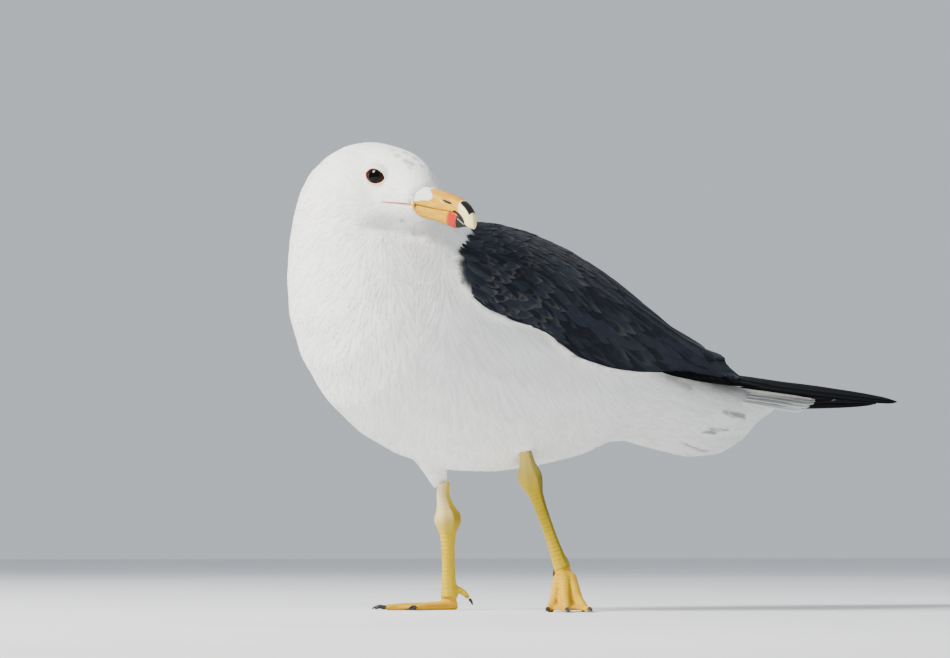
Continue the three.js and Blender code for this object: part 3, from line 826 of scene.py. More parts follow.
# spacing, length and width of the feathers at every point of the skin
def coatFields():
    head, body = toHead(surface.points), toBody(surface.points)
    reach = np.linalg.norm(head - [2, 0, -3], axis=1)
    onFace = ramp(head[:, 0], 2, 24) * (1 - ramp(reach, 30, 52))
    for side in (1, -1):
        _, _, _, outside = aroundEye(head, side)
        onFace = np.maximum(onFace, (1 - ramp(outside, 2, 8)) * (head[:, 1] * side > 8) * (reach < 40))
    onCrown = 1 - ramp(reach, 24, 44)
    onNeck = 1 - ramp(reach, 46, 92)
    onLeg = 1 - ramp(body[:, 2], 76, 96)
    onVent = ramp(-body[:, 0], 60, 150) * (1 - ramp(body[:, 2], 128, 150))
    zones = ((onVent, "vent"), (onNeck, "neck"), (onCrown, "crown"), (onFace, "face"), (onLeg, "thigh"))
    fields = []
    for k in range(3):
        value = np.full(len(reach), coatPlan["body"][k])
        for share, key in zones:
            value = value + (coatPlan[key][k] - value) * share
        fields.append(value)
    return fields


# where no feather grows: the eye openings and the bill's socket
def bareSkin():
    head = toHead(surface.points)
    bare = np.zeros(len(surface.points), bool)
    for side in (1, -1):
        _, _, h, reach = aroundEye(head, side)
        bare |= (h > 0) & (reach < 1.0) & (head[:, 1] * side > 8)
    front = head[:, 0] > 20
    away = np.full(len(head), 9.0)
    for node in ("bill_upper", "bill_lower"):
        away[front] = np.minimum(away[front], nodeDistance(node, surface.points[front]))
    toBill = unit(head - [60, 0, -9])
    facing = (surface.normals @ headAxes.T * toBill).sum(1)
    return bare | ((away < 1.3) & (facing < -0.55))


# white feathers whose tips would run over the wing are cut short
def shortAtWing(roots, near, longs):
    here, at = roots.copy(), near
    allowed = longs.copy()
    for share in np.linspace(0, 1, 6)[1:]:
        here = here + surface.lie[at] * (longs / 5)[:, None] * mm
        at = surface.nearest(here)
        over = surface.slate[at] > 0.5
        allowed = np.where(over, np.minimum(allowed, longs * (share - 0.2) + coatPlan["overWing"]), allowed)
    return np.maximum(allowed, 0.3 * longs)


# and those whose tips would lie over an eye end at its lids
def shortAtEyes(roots, near, longs):
    head = toHead(roots)
    tips = toHead(roots + surface.lie[near] * longs[:, None] * mm)
    for side in (1, -1):
        _, _, h, start = aroundEye(head, side)
        _, _, _, end = aroundEye(tips, side)
        close = (h > 0) & (head[:, 1] * side > 8) & (start < 12) & (end < 0.6)
        share = (start - 0.6) / np.maximum(start - end, 0.1)
        longs = np.where(close, longs * np.clip(share, 0.15, 1), longs)
    return longs


def growSoftCoat():
    gap, length, width = coatFields()
    body = toBody(surface.points)
    underWing = (body[:, 0] < -128) & (body[:, 2] > 145.5 + 0.1 * (body[:, 0] + 150))
    allowed = (surface.slate < 0.5) & ~bareSkin() & ~underWing
    roots = sowRoots(gap, allowed, 11)
    near = surface.nearest(roots)
    luck = np.random.default_rng(23)
    count, rows = len(roots), coatPlan["rows"]
    longs = length[near] * luck.uniform(0.8, 1.15, count)
    halves = gap[near] * width[near] / 2 * luck.uniform(0.8, 1.15, count)
    turn = np.radians(luck.normal(0, coatPlan["stray"], count))
    tone = luck.uniform(-1, 1, count)
    depth = surface.coat[near] * coatPlan["lift"] * luck.uniform(0.7, 1.2, count)
    alongs = np.linspace(0, 1, rows)
    longs = shortAtEyes(roots, near, shortAtWing(roots, near, longs))
    middles, asides, uppers, ways, slates, spots = [], [], [], [], [], []
    here, at = roots.copy(), near
    for row in range(rows):
        up = surface.soft[at]
        here = here - up * ((here - surface.points[at]) * up).sum(1, keepdims=True)
        lie = surface.lie[at]
        side = np.cross(up, lie)
        way = unit(lie * np.cos(turn)[:, None] + side * np.sin(turn)[:, None])
        lift = 0.10 + depth * alongs[row] ** 1.15
        middles.append(here + up * lift[:, None] * mm)
        asides.append(np.cross(up, way))
        uppers.append(up)
        ways.append(way)
        slates.append(surface.slate[at])
        # grey marks along each feather, partly painted shade
        spots.append(headStreaksAndChinShade(toHead(here)) + ventMarksAndWingShade(toBody(here)))
        here = here + way * (longs / (rows - 1))[:, None] * mm
        at = surface.nearest(here)
    centre, aside = np.stack(middles, 1), np.stack(asides, 1)
    upward, onward = np.stack(uppers, 1), np.stack(ways, 1)
    profile = np.array([0.45, 0.85, 1.0, 0.96, 0.82, 0.55, 0.12])
    half = halves[:, None] * profile[None] * mm
    teeth = luck.uniform(0.2, 1.0, (count, rows)) * coatPlan["ragged"]
    across = np.array([-1.0, 0.0, 1.0])
    points, values = growVanes(centre, aside, upward, half, across, alongs, 0.2)
    # the barbs at the edges part and point to the tip
    jag = (teeth * (np.arange(rows) % 2) * half)[:, :, None, None]
    inward = aside[:, :, None] * across[None, None, (0, 2), None]
    points[:, :, (0, 2)] += onward[:, :, None] * jag * 1.8 - inward * jag
    points[:, -1, 1] += onward[:, -1] * half.max(1)[:, None] * 0.35
    normals = upward[:, :, None] + aside[:, :, None] * across[None, None, :, None] * coatPlan["roundness"]
    normals = unit(normals + onward[:, :, None] * (alongs ** 2)[None, :, None, None] * coatPlan["tipTurn"])
    values["tone"] = np.repeat(tone, rows * 3)
    values["slate"] = np.repeat(np.stack(slates, 1).ravel(), 3)
    values["smudgeAndShade"] = np.repeat(np.stack(spots, 1).ravel(), 3)
    patch = patchesAt(near, across, alongs).reshape(count, rows * 3, 2)
    order = np.argsort(np.digitize(surface.far[near], [12, 40, 90, 150]), kind="stable")
    pieces = 0
    for start in range(0, count, coatPlan["perPiece"]):
        pick = order[start:start + coatPlan["perPiece"]]
        flat = {key: value.reshape(count, -1)[pick].ravel() for key, value in values.items()}
        pieces += 1
        faces = vaneFaces(rows, 3, len(pick))
        piece = addCoat(f"coat_{pieces}", points[pick].reshape(-1, 3), flat, faces,
                        patch[pick].reshape(-1, 2), normals[pick].reshape(-1, 3))
        finish(piece, down, "white_feather")
    print("soft coat", count, "feathers in", pieces, "pieces")


# dark marks in the white plumage, partly painted shade
headStreakAndChinShadePlan = [
    # mm ahead, aside and up from the head's middle, reach, strength
    (0.7, -6, 16.4, 2.6, 0.35),
    (7.3, -1.5, 16.3, 3.0, 0.45),
    (8.6, -8.2, 14.3, 3.0, 0.45),
    (15, 0.4, 14.5, 3.0, 0.5),
    (16.5, -6.6, 12.3, 3.4, 0.55),
    (19.4, -5.2, 11.5, 3.0, 0.6),
    (21.5, -6.8, 9.3, 2.6, 0.5),
    (22.6, 0.5, 10.9, 2.6, 0.35),
    (9, 8, 14.3, 3.0, 0.4),
    (17, 7, 12, 3.2, 0.45),
    (22, 6, 9.3, 2.6, 0.4),
    # the five by the chin and throat are partly grey streaks and partly painted shade under the jaw
    (20.8, -9.6, -26.4, 3.4, 0.6),
    (19.6, -13, -26.8, 3.0, 0.5),
    (21.5, -6, -22.2, 2.6, 0.45),
    (24.5, 4, -26.4, 2.8, 0.4),
    (19, 11, -26, 3.2, 0.45),
]


# a few faint grey streaks on the forecrown, and grey by the chin that is partly streaks and partly painted
# shade under the jaw
def headStreaksAndChinShade(head):
    marks = np.zeros(len(head))
    for ahead, aside, up, reach, strength in headStreakAndChinShadePlan:
        away = np.linalg.norm((head - [ahead, aside, up]) * [0.75, 1.3, 1.0], axis=1)
        marks = np.maximum(marks, strength * (1 - ramp(away, reach * 0.4, reach)))
    return marks


ventMarkAndWingShadePlan = (
    # mm in the body's frame, the same on both sides: from, to, reach, strength
    ((-136, 28, 111), (-146, 27.6, 111), 1.7, 0.75),
    ((-127, 18.2, 104), (-139, 15.7, 101.2), 1.5, 0.6),
    ((-139, 15.7, 101.2), (-149, 14, 99.5), 1.5, 0.6),
    ((-152, 30, 124.5), (-172, 24.6, 121.8), 2.2, 0.75),
    ((-142, 29, 113.8), (-157, 26.4, 112.8), 1.5, 0.6),
    # painted shade on the flank below the wing's edge
    ((-97, 42.2, 144.4), (-120, 35.4, 138.5), 3.2, 0.35),
    ((-150, 26, 108), (-166, 22, 107), 1.3, 0.35),
)


# soft dark marks on the long feathers under the tail, and painted shade on the flank below the wing's edge
def ventMarksAndWingShade(body):
    marks = np.zeros(len(body))
    mirrored = np.abs(body * [0, 1, 0]) + body * [1, 0, 1]
    for start, end, reach, strength in ventMarkAndWingShadePlan:
        run = np.subtract(end, start)
        share = np.clip((mirrored - start) @ run / (run @ run), 0, 1)
        away = np.linalg.norm(mirrored - start - share[:, None] * run, axis=1)
        marks = np.maximum(marks, strength * (1 - ramp(away, reach * 0.35, reach)))
    return marks


growSoftCoat()


# wings
wingPlan = {
    # along the body (mm, falling to the rear): rows apart, feathers apart, length, all in mm
    "stations": (68, 30, 0, -30, -60, -100, -150),
    "rowGap": (3.2, 4.2, 5.6, 7.0, 8.0, 8.0, 7.5),
    "columnGap": (3.4, 4.4, 5.4, 6.4, 7.0, 7.0, 6.0),
    "length": (10, 15, 22, 31, 36, 36, 28),
    "backLonger": 1.2,    # the scapulars against the coverts beside them
    "lift": 0.75,         # mm that a feather's tip stands off the skin
    "slant": 0.16,        # how far down the wing's share a tip lies below its root
    "rows": 8,
    "wornShare": 0.75,
    "overhang": 0.88,     # share down the wing where its edge leaves the flank
}


# the outer face of one folded wing and half the back, by place along the body and share from the
# middle of the back to the wing's lower edge
class WingSheet:
    def __init__(self, name, side):
        self.side = side
        slices, low, top, out = wingSlices(name)
        self.xs = np.linspace(70, -168, 140)
        self.vs = np.linspace(-0.16, 1.1, 64)
        self.low, self.top = np.interp(self.xs, slices, low), np.interp(self.xs, slices, top)
        self.axis = self.low + 0.38 * (self.top - self.low) - 10
        limit = np.arctan2(np.interp(self.xs, slices, out), self.low - self.axis)
        self.points = np.zeros((len(self.xs), len(self.vs), 3))
        for i, x in enumerate(self.xs):
            start = fromBody([x, 0, self.axis[i]])
            for j, v in enumerate(self.vs):
                angle = v * limit[i]
                ray = np.array([0, math.sin(angle) * side, math.cos(angle)])
                self.points[i, j] = surface.faces.ray_cast(start + ray * 0.2, -ray)[0]
        self.freeEdge()
        du = np.gradient(self.points, axis=0)
        dv = np.gradient(self.points, axis=1)
        normals = np.cross(dv, du) * side
        for _ in range(3):
            normals[1:-1] = (normals[:-2] + normals[1:-1] * 2 + normals[2:]) / 4
            normals[:, 1:-1] = (normals[:, :-2] + normals[:, 1:-1] * 2 + normals[:, 2:]) / 4
        self.normals = unit(normals)
        self.span = np.linalg.norm(dv, axis=2) / mm / (self.vs[1] - self.vs[0])
        self.edgeOut = np.abs(toBody(self.points)[:, np.searchsorted(self.vs, 0.97), 1])

    # past its widest place the face runs straight down to the wing's lower edge
    def freeEdge(self):
        j = int(np.searchsorted(self.vs, wingPlan["overhang"]))
        start = self.points[:, j]
        fall = fromBody(np.stack([self.xs, self.xs * 0, self.low], 1))[:, 2] - start[:, 2]
        for k in range(j + 1, len(self.vs)):
            share = (self.vs[k] - self.vs[j]) / (1 - self.vs[j])
            self.points[:, k] = start
            self.points[:, k, 2] += fall * share
            self.points[:, k, 1] -= self.side * 0.5 * mm * share ** 2

    def read(self, grid, x, v):
        i = np.clip((x - self.xs[0]) / (self.xs[1] - self.xs[0]), 0, len(self.xs) - 1.001)
        j = np.clip((v - self.vs[0]) / (self.vs[1] - self.vs[0]), 0, len(self.vs) - 1.001)
        i0, j0 = i.astype(int), j.astype(int)
        a, b = (i - i0), (j - j0)
        if grid.ndim == 3:
            a, b = a[..., None], b[..., None]
        top = grid[i0, j0] * (1 - a) + grid[i0 + 1, j0] * a
        return top * (1 - b) + (grid[i0, j0 + 1] * (1 - a) + grid[i0 + 1, j0 + 1] * a) * b

    # a place and its outward way; past the wing's rear end it runs straight on
    def at(self, x, v):
        past = np.maximum(self.xs[-1] - x, 0)
        place = self.read(self.points, x, v)
        near = self.read(self.points, np.full_like(x, self.xs[-1] + 14), v)
        end = self.read(self.points, np.full_like(x, self.xs[-1]), v)
        place = place + (end - near) * (past / 14)[..., None]
        return place, unit(self.read(self.normals, x, v))


# shares down the wing, drawn together just above its lower edge so that none passes it
def heldAtEdge(v):
    room = 0.05
    start = 1 - room
    return np.where(v > start, start + room * (1 - np.exp(-(v - start) / room)), v)


# every vane follows the wing's face from its root back, its sides spread along the face
def vanesOnWing(sheet, x, v, length, half, drift, lift, base, across, alongs, profile, tilt):
    run = x[:, None] - length[:, None] * alongs[None]
    width = half[:, None] * profile[None]
    span = sheet.read(sheet.span, run, np.broadcast_to(v[:, None], run.shape))
    course = v[:, None] + drift[:, None] * alongs[None]
    aside = width[:, :, None] * across[None, None, :] / span[:, :, None]
    spread = np.broadcast_to(run[:, :, None], aside.shape)
    place, up = sheet.at(spread, heldAtEdge(course[:, :, None] + aside))
    rise = base[:, None] + lift[:, None] * alongs[None] ** 1.2
    over = across[None, None, :]
    rise = rise[:, :, None] + tilt * over - 0.10 * width[:, :, None] * over ** 2
    points = place + up * rise[..., None] * mm
    return points, up


def growWingCoat(name, side, seed):
    sheet = WingSheet(name, side)
    luck = np.random.default_rng(seed)
    stations = np.array(wingPlan["stations"])[::-1]
    field = {key: np.array(wingPlan[key], float)[::-1] for key in ("rowGap", "columnGap", "length")}
    roots = []
    x, row = -148.0, 0
    while x < 67:
        gap = np.interp(x, stations, field["columnGap"])
        span = float(sheet.read(sheet.span, np.array([x]), np.array([0.5]))[0])
        for column in range(int(span / gap) + 2):
            v = (column + 0.5 * (row % 2)) * gap / span - 0.02
            if v < 1.0:
                roots.append((x + luck.uniform(-1.6, 1.6), v + luck.uniform(-0.01, 0.01), gap))
        x += np.interp(x, stations, field["rowGap"])
        row += 1
    x, v, gap = np.array(roots).T
    # none on the hind neck, which is white
    dark = surface.slate[surface.nearest(sheet.at(x - 3, np.minimum(v, 0.9))[0])] > 0.5
    kept = dark | (v > 0.75)
    x, v, gap = x[kept], v[kept], gap[kept]
    count, rows = len(x), wingPlan["rows"]
    longer = 1 + (wingPlan["backLonger"] - 1) * (1 - ramp(v, 0.35, 0.55))
    length = np.interp(x, stations, field["length"]) * longer * luck.uniform(0.85, 1.1, count)
    half = gap * 0.72 * (1 + 0.15 * (longer > 1.1)) * luck.uniform(0.88, 1.1, count)
    across = np.array([-1.0, -0.55, 0.0, 0.55, 1.0])
    alongs = np.linspace(0, 1, rows)
    profile = np.array([0.5, 0.8, 0.96, 1.0, 0.95, 0.82, 0.55, 0.12])
    lift = wingPlan["lift"] * luck.uniform(0.7, 1.2, count)
    drift = wingPlan["slant"] * ramp(v, 0.1, 0.5) * ramp(-x, -40, 60) + 0.02 * luck.normal(0, 1, count)
    base = 0.12 + 1.1 * ramp(v, 0.55, 0.8) * ramp(x, -60, 0)
    points, up = vanesOnWing(sheet, x, v, length, half, drift, lift, base, across, alongs, profile, 0.10)
    edge = np.maximum(ramp(np.abs(across), 0.5, 1.0)[None, :] * 0.7, ramp(alongs, 0.7, 0.97)[:, None])
    worn = wornFringes(x, v, count, luck)
    values = {
        "along": np.broadcast_to(alongs[None, :, None], up.shape[:3]),
        "across": np.broadcast_to(across[None, None, :], up.shape[:3]),
        "tone": np.broadcast_to(luck.uniform(-1, 1, count)[:, None, None], up.shape[:3]),
        "slate": np.ones(up.shape[:3]),
        "worn": worn[:, None, None] * edge[None],
    }
    return sheet, points, values, (rows, len(across), count)


# brownish fringes: scattered over the shoulder, in a band that runs down and back across the coverts,
# and next to none on the lower rear of the wing
def wornFringes(x, v, count, luck):
    band = np.exp(-((v - 0.40 - (40 - x) * 0.0042) / 0.16) ** 2) * ramp(x, -75, -10) * (1 - ramp(x, 58, 66))
    shoulder = ramp(x, 0, 30) * (1 - ramp(x, 58, 66)) * ramp(v, 0.35, 0.6)
    upper = 0.5 * ramp(v, 0.12, 0.3) * (1 - ramp(v, 0.5, 0.75)) * ramp(x, -120, -60)
    share = np.maximum(np.maximum(band, shoulder), upper)
    return (0.04 + wingPlan["wornShare"] * share) * luck.uniform(0.0, 1.0, count) ** 1.6


def buildWings():
    for name, side, seed in (("left", 1, 31), ("right", -1, 32)):
        sheet, points, values, (rows, columns, count) = growWingCoat(name, side, seed)
        faces = vaneFaces(rows, columns, count)
        if side < 0:
            faces = faces[:, ::-1]
        across, alongs = values["across"][0, 0], values["along"][0, :, 0]
        patch = patchesAt(surface.nearest(points[:, 0, 2]), across, alongs)
        flat = {key: np.ascontiguousarray(value).ravel() for key, value in values.items()}
        piece = addCoat("wing_coat_" + name, points.reshape(-1, 3), flat, faces, patch)
        finish(piece, feather, "slate_feather")
        print("wing", name, count, "feathers")
        wingSheets[name] = sheet


wingSheets = {}
buildWings()


# long feathers: wing tips, tertials and tail
# a smooth line from start to end, drawn towards bend on its way
def curveThrough(start, bend, end, count):
    t = np.linspace(0, 1, count)[:, None]
    return start * (1 - t) ** 2 + bend * 2 * t * (1 - t) + end * t ** 2


shaftAcross = np.array([-1.0, -0.7, -0.38, -0.07, 0.0, 0.07, 0.38, 0.7, 1.0])


# one closed blade round its shaft: aside points to the inner vane, widths are in mm
def longFeather(line, aside, inner, outer, profile, camber, thick, luck):
    rows = len(line)
    onward = unit(np.gradient(line, axis=0))
    aside = unit(aside - onward * (onward * aside).sum(1, keepdims=True))
    up = np.cross(onward, aside)
    up = up * np.sign(up[:, 2:].sum())
    half = np.where(shaftAcross > 0, inner, outer)[None, :] * profile[:, None]
    ragged = 1 + luck.uniform(-0.035, 0.012, (rows, 1)) * (np.abs(shaftAcross) > 0.9)
    offset = shaftAcross[None, :] * half * ragged
    rise = -camber * np.abs(shaftAcross)[None, :] ** 1.6 * half + 0.28 * (shaftAcross == 0)[None, :]
    sweep = -np.abs(shaftAcross)[None, :] * half * 0.35
    top = line[:, None] + (aside[:, None] * offset[..., None] + up[:, None] * rise[..., None]
                           + onward[:, None] * sweep[..., None] * (1 - profile[:, None, None] * 0.4)) * mm
    low = top - up[:, None] * thick * mm
    return np.concatenate([top, low[:, ::-1]], 1)


# a tube of rows round the blade, closed at both ends
def bladeFaces(rows, columns):
    ring = columns * 2
    faces = tube(rows, ring, closeEnds=False).tolist()
    for r, flip in ((0, 1), (rows - 1, -1)):
        for c in range(columns - 1):
            a, b = r * ring + c, r * ring + c + 1
            d, e = r * ring + ring - 1 - c, r * ring + ring - 2 - c
            faces += [(a, e, b)[::flip], (a, d, e)[::flip]]
    return np.array(faces)


# blades is a list of (points, values) from the lowest feather to the highest
def buildBlades(name, blades, material, slot, *nodes):
    allPoints, allFaces, allPatches = [], [], []
    values = {key: [] for key in ("along", "across", "tone", "slate", "black", "pale", "smudgeAndShade", "worn")}
    count = 0
    columns = len(shaftAcross)
    for points, marks in blades:
        rows = len(points)
        alongs = np.broadcast_to(np.linspace(0, 1, rows)[:, None], (rows, columns * 2))
        across = np.broadcast_to(np.concatenate([shaftAcross, shaftAcross[::-1]])[None], (rows, columns * 2))
        sheetValues = {"along": alongs, "across": across}
        for key in values:
            value = sheetValues.get(key, marks.get(key, 0.0))
            if callable(value):
                value = value(alongs, across)
            values[key].append(np.broadcast_to(value, alongs.shape).ravel())
        patch = surface.patch[surface.nearest([points[0, columns // 2]])[0]]
        allPatches.append((patch + patchHalf * np.stack([across, alongs * 2 - 1], -1)).reshape(-1, 2))
        allPoints.append(points.reshape(-1, 3))
        allFaces.append(bladeFaces(rows, columns) + count)
        count += rows * columns * 2
    flat = {key: np.concatenate(value) for key, value in values.items()}
    points, faces, patch = (np.concatenate(part) for part in (allPoints, allFaces, allPatches))
    piece = addCoat(name, points, flat, faces, patch)
    piece.data.update()
    finish(piece, material, slot, *nodes)


# how wide a long feather is along its length: soon full, then drawn to its tip
def bladeProfile(count, rise, fall, power, blunt):
    t = np.linspace(0, 1, count)
    width = np.clip(0.35 + 0.65 * t / rise, 0, 1)
    tip = np.clip((t - fall) / (1 - fall), 0, 1)
    return width * np.maximum((1 - tip ** power) ** (1 / power), blunt)


primaryPlan = {
    # for each feather from the lowest: tip, how far aside the tip is, where it leaves the wing, how pale
    # its very tip is
    "feathers": (
        (-317, 6.5, -76, 0.0),
        (-277, 8.0, -88, 0.75),
        (-257, 9.5, -100, 0.0),
        (-238, 11.0, -118, 0.0),
        (-218, 12.5, -132, 0.0),
        (-198, 14.0, -142, 0.0),
    ),
    "atWing": 150.5,      # height of the lowest feather where it leaves the wing
    "atRump": 144.6,      # and over the rump
    "step": 0.42,         # how much higher each next feather lies
    "tipHeight": 136.6,
    "rise": 0.050,        # how much higher a tip lies for each mm that it stops short
    "leanAt": (-317, -205, -158, -76),
    "lean": (38, 30, 22, 60),  # degrees that a feather's face stands up there
    "inner": 11.0,
    "outer": 8.0,
    "rightLower": 7.0,    # mm that the right wing's feathers hang lower beside the tail
    "rightShort": 7.0,
    "thick": 0.5,
    "rows": 40,
}


def primaryBlades(name, side, luck):
    plan = primaryPlan
    sheet = wingSheets[name]
    settled, short = (plan["rightLower"], plan["rightShort"]) if side < 0 else (0, 0)
    blades = []
    for i, (tipX, tipSide, rootX, pale) in enumerate(plan["feathers"]):
        tipX = tipX + (short if i == 0 else 0)
        count = plan["rows"]
        height = plan["step"] * i
        places = []
        for share in (0, 0.5, 1):
            x = rootX + (-158 - rootX) * share
            z = plan["atRump"] + (plan["atWing"] - plan["atRump"]) * (x + 158) / 82
            # the root lies under the wing's feathers, and the rest comes out below them
            out = np.interp(x, sheet.xs[::-1], sheet.edgeOut[::-1]) - 0.45 * i - 2.0 * share
            out = out + (1.5 if share else -2.5)
            places.append((x, side * out, z + height - settled * share * 0.8))
        tipZ = plan["tipHeight"] + height + plan["rise"] * (tipX + 317) - 0.15 * settled
        last = np.array([tipX, side * tipSide, tipZ])
        past = np.array(places[-1])
        places.append(past + (last - past) * 0.5 + [0, side * 1.2, -0.3 - 0.25 * settled])
        places.append(last)
        course = courseThrough(places, count)
        line = fromBody(course)
        t = np.linspace(0, 1, count)
        lean = np.radians(np.interp(course[:, 0], plan["leanAt"], plan["lean"]))
        aside = np.stack([t * 0, -side * np.cos(lean), np.sin(lean)], 1)
        profile = bladeProfile(count, 0.25, 0.62, 1.7, 0.05) * (0.2 + 0.8 * ramp(t, 0, 0.12))
        points = longFeather(line, aside, plan["inner"], plan["outer"], profile, 0.05, plan["thick"], luck)
        marks = {
            "black": 1.0,
            "tone": luck.uniform(-1, 1),
            "pale": lambda t, c, w=pale: w * ramp(t, 0.975, 0.99),
        }
        blades.append((points, marks))
    return blades


tailPlan = {
    "feathers": 12,
    "root": -108,
    "tip": -241.5,
    "half": 13.5,
    "height": 146.4,
    "droop": 9.5,
    "roof": 8.6,
    "fan": 6.6,
    "shorter": 28,
    "inner": 9.5,
    "outer": 6.5,
    "step": 0.3,
    "thick": 0.35,
    "rows": 30,
}


# twelve feathers in a shallow roof, the middle pair on top
def tailBlades(luck):
    blades = []
    plan = tailPlan
    for k in sorted(range(plan["feathers"]), key=lambda k: -abs(k - 5.5)):
        place = (2 * k + 1 - plan["feathers"]) / plan["feathers"]
        side = 1 if place > 0 else -1
        angle = math.radians(place * plan["fan"])
        length = plan["root"] - plan["tip"] - plan["shorter"] * place ** 2 + luck.uniform(-1.2, 1.2)
        low = plan["step"] * abs(k - 5.5)
        high = plan["height"] - 0.4 * plan["roof"] * place ** 2 - low
        root = np.array([plan["root"] - 4, place * plan["half"], high])
        tip = root + [-math.cos(angle) * length, math.sin(angle) * length,
                      -plan["droop"] - 0.6 * plan["roof"] * place ** 2]
        bend = (root + tip) / 2 + [0, 0, 0.8]
        slope = math.atan(2 * plan["roof"] * abs(place) / 27)
        aside = np.array([0, -side * math.cos(slope), math.sin(slope)])
        line = fromBody(curveThrough(root, bend, tip, plan["rows"]))
        profile = bladeProfile(plan["rows"], 0.25, 0.86, 2.4, 0.12)
        points = longFeather(line, aside, plan["inner"], plan["outer"], profile, 0.05, plan["thick"], luck)
        spot = {11: 1.0, 10: 1.0, 9: 0.6, 0: 0.9, 1: 0.5}.get(k, 0.0)
        marks = {
            "tone": luck.uniform(-1, 1),
            "smudgeAndShade": lambda t, c, w=spot: w * ramp(t, 0.66, 0.70) * (1 - ramp(t, 0.84, 0.88))
            * (1 - ramp(np.abs(c - 0.05), 0.22, 0.36)),
        }
        blades.append((points, marks))
    return blades


tertialPlan = {
    # root along the body, its share down the wing, tip along the body and its share, tip lift, half width
    "feathers": (
        (-64, 0.62, -128, 0.86, 1.2, 8.0),
        (-62, 0.55, -142, 0.76, 1.4, 9.0),
        (-58, 0.48, -156, 0.64, 1.6, 10.0),
        (-54, 0.42, -168, 0.50, 1.8, 10.5),
        (-50, 0.34, -157, 0.32, 2.2, 10.5),
        (-46, 0.26, -148, 0.19, 2.4, 10.0),
        (-40, 0.17, -130, 0.09, 2.6, 9.5),
    ),
    "thick": 0.45,
    "rows": 26,
}


# the long inner feathers that close the folded wing, pale at their tips
def tertialBlades(name, side, luck):
    sheet = wingSheets[name]
    blades = []
    for rootX, rootV, tipX, tipV, lift, half in tertialPlan["feathers"]:
        count = tertialPlan["rows"]
        t = np.linspace(0, 1, count)
        x = rootX + (tipX - rootX) * t
        v = rootV + (tipV - rootV) * t ** 1.3
        profile = bladeProfile(count, 0.3, 0.66, 2.0, 0.08)
        width = half * profile
        span = sheet.read(sheet.span, np.maximum(x, -150), v)
        offset = shaftAcross[None, :] * width[:, None] / span[:, None]
        place, up = sheet.at(np.broadcast_to(x[:, None], offset.shape), v[:, None] + offset)
        rise = 1.0 + lift * t[:, None] ** 1.6 - 0.05 * width[:, None] * np.abs(shaftAcross)[None] ** 1.6
        rise = rise + 0.25 * (shaftAcross == 0)[None]
        top = place + up * rise[..., None] * mm
        low = top - up * tertialPlan["thick"] * mm
        if side < 0:
            top, low = top[:, ::-1], low[:, ::-1]
        points = np.concatenate([top, low[:, ::-1]], 1)
        marks = {
            "slate": 1.0,
            "tone": luck.uniform(-1, 1),
            "pale": lambda t, c, w=1 - ramp(tipV, 0.36, 0.5): w * np.maximum(
                0.5 * ramp(t, 0.92, 0.98), 0.42 * ramp(np.abs(c), 0.4, 1.0) * ramp(t, 0.3, 0.8)),
        }
        blades.append((points, marks))
    return blades


def buildLongFeathers():
    for name, side in (("left", 1), ("right", -1)):
        luck = np.random.default_rng(41 + side)
        primaries = primaryBlades(name, side, luck)
        tertials = tertialBlades(name, side, luck)
        buildBlades("primaries_" + name, primaries, quill, "black_feather", "wingtip_" + name)
        buildBlades("tertials_" + name, tertials, feather, "slate_feather")
    buildBlades("tail_feathers", tailBlades(np.random.default_rng(52)), quill, "white_feather", "tail")
    print("long feathers done")


buildLongFeathers()


# the skin's own finish
def finishSkin():
    # the same grey marks on the skin, partly painted shade
    marks = headStreaksAndChinShade(toHead(surface.points)) + ventMarksAndWingShade(toBody(surface.points))
    zeros = np.zeros(len(surface.points))
    values = dict.fromkeys(("tone", "along", "across", "black", "pale", "worn"), zeros)
    keepValues(skin.data, {"slate": surface.slate, "smudgeAndShade": 0.8 * marks, **values})
    finish(skin, down, "white_feather", *fleshNodes)


finishSkin()

# bill: each half is one fine skin round its own curve
billPlan = {
    # from the head to the tip of the hook, mm along the bill and up
    "culmen": ((26, -0.7), (38, 1.1), (48, 1.1), (57, 0.85), (65, 0.0), (72, -2.0), (77, -4.9), (80, -7.9),
               (81.7, -11), (82.1, -13.0), (81.8, -14.4)),
    "edge": ((26, -10.8), (36, -10.1), (45, -9.7), (54, -9.0), (61, -8.4), (66, -8.1), (70.5, -9.2),
             (74.2, -11.8), (76.8, -13.7), (79.4, -14.6), (81.2, -14.8)),
    "half": (9.9, 8.1, 6.7, 5.9, 5.2, 4.7, 4.1, 3.4, 2.6, 1.6, 0.5),
    "jawTop": ((26, -10.9), (36, -10.2), (45, -9.8), (54, -9.1), (61, -8.5), (66, -8.3), (70.3, -9.6),
               (73.8, -12.2), (76.2, -13.9)),
    "jawLow": ((26, -15.6), (36, -17.2), (45, -17.1), (54, -17.05), (61, -17.4), (65, -17.5), (70, -15.9),
               (73.5, -15.0), (76.4, -14.7)),
    "jawHalf": (9.5, 7.7, 6.2, 5.4, 4.7, 4.3, 3.5, 2.3, 0.7),
    "nostril": (58.2, -3.7, 4.8, 0.75),   # middle along and up, half its length and height
    "nostrilDepth": 1.2,
    "steps": 130,
    "around": 41,
}
# bandHighlight is a painted highlight: a light grey streak along the black band of the lower half
billColours = {
    "yellow": "CCA200", "orange": "C47E00", "spot": "B42400", "band": "141210", "bandHighlight": "8E8A82",
    "cream": "E9DC9C", "olive": "6E5A10", "nostril": "120C04", "under": "EEEEEA",
}
# how strong each mark is where its colour starts and where it is full, in the order they are laid on
billSpans = {
    "spot": (0.08, 0.92), "olive": (0.30, 0.85), "cream": (0.2, 0.80), "band": (0.38, 0.60),
    "bandHighlight": (0.35, 0.8), "nostril": (0.35, 0.6), "under": (0.3, 0.6),
}


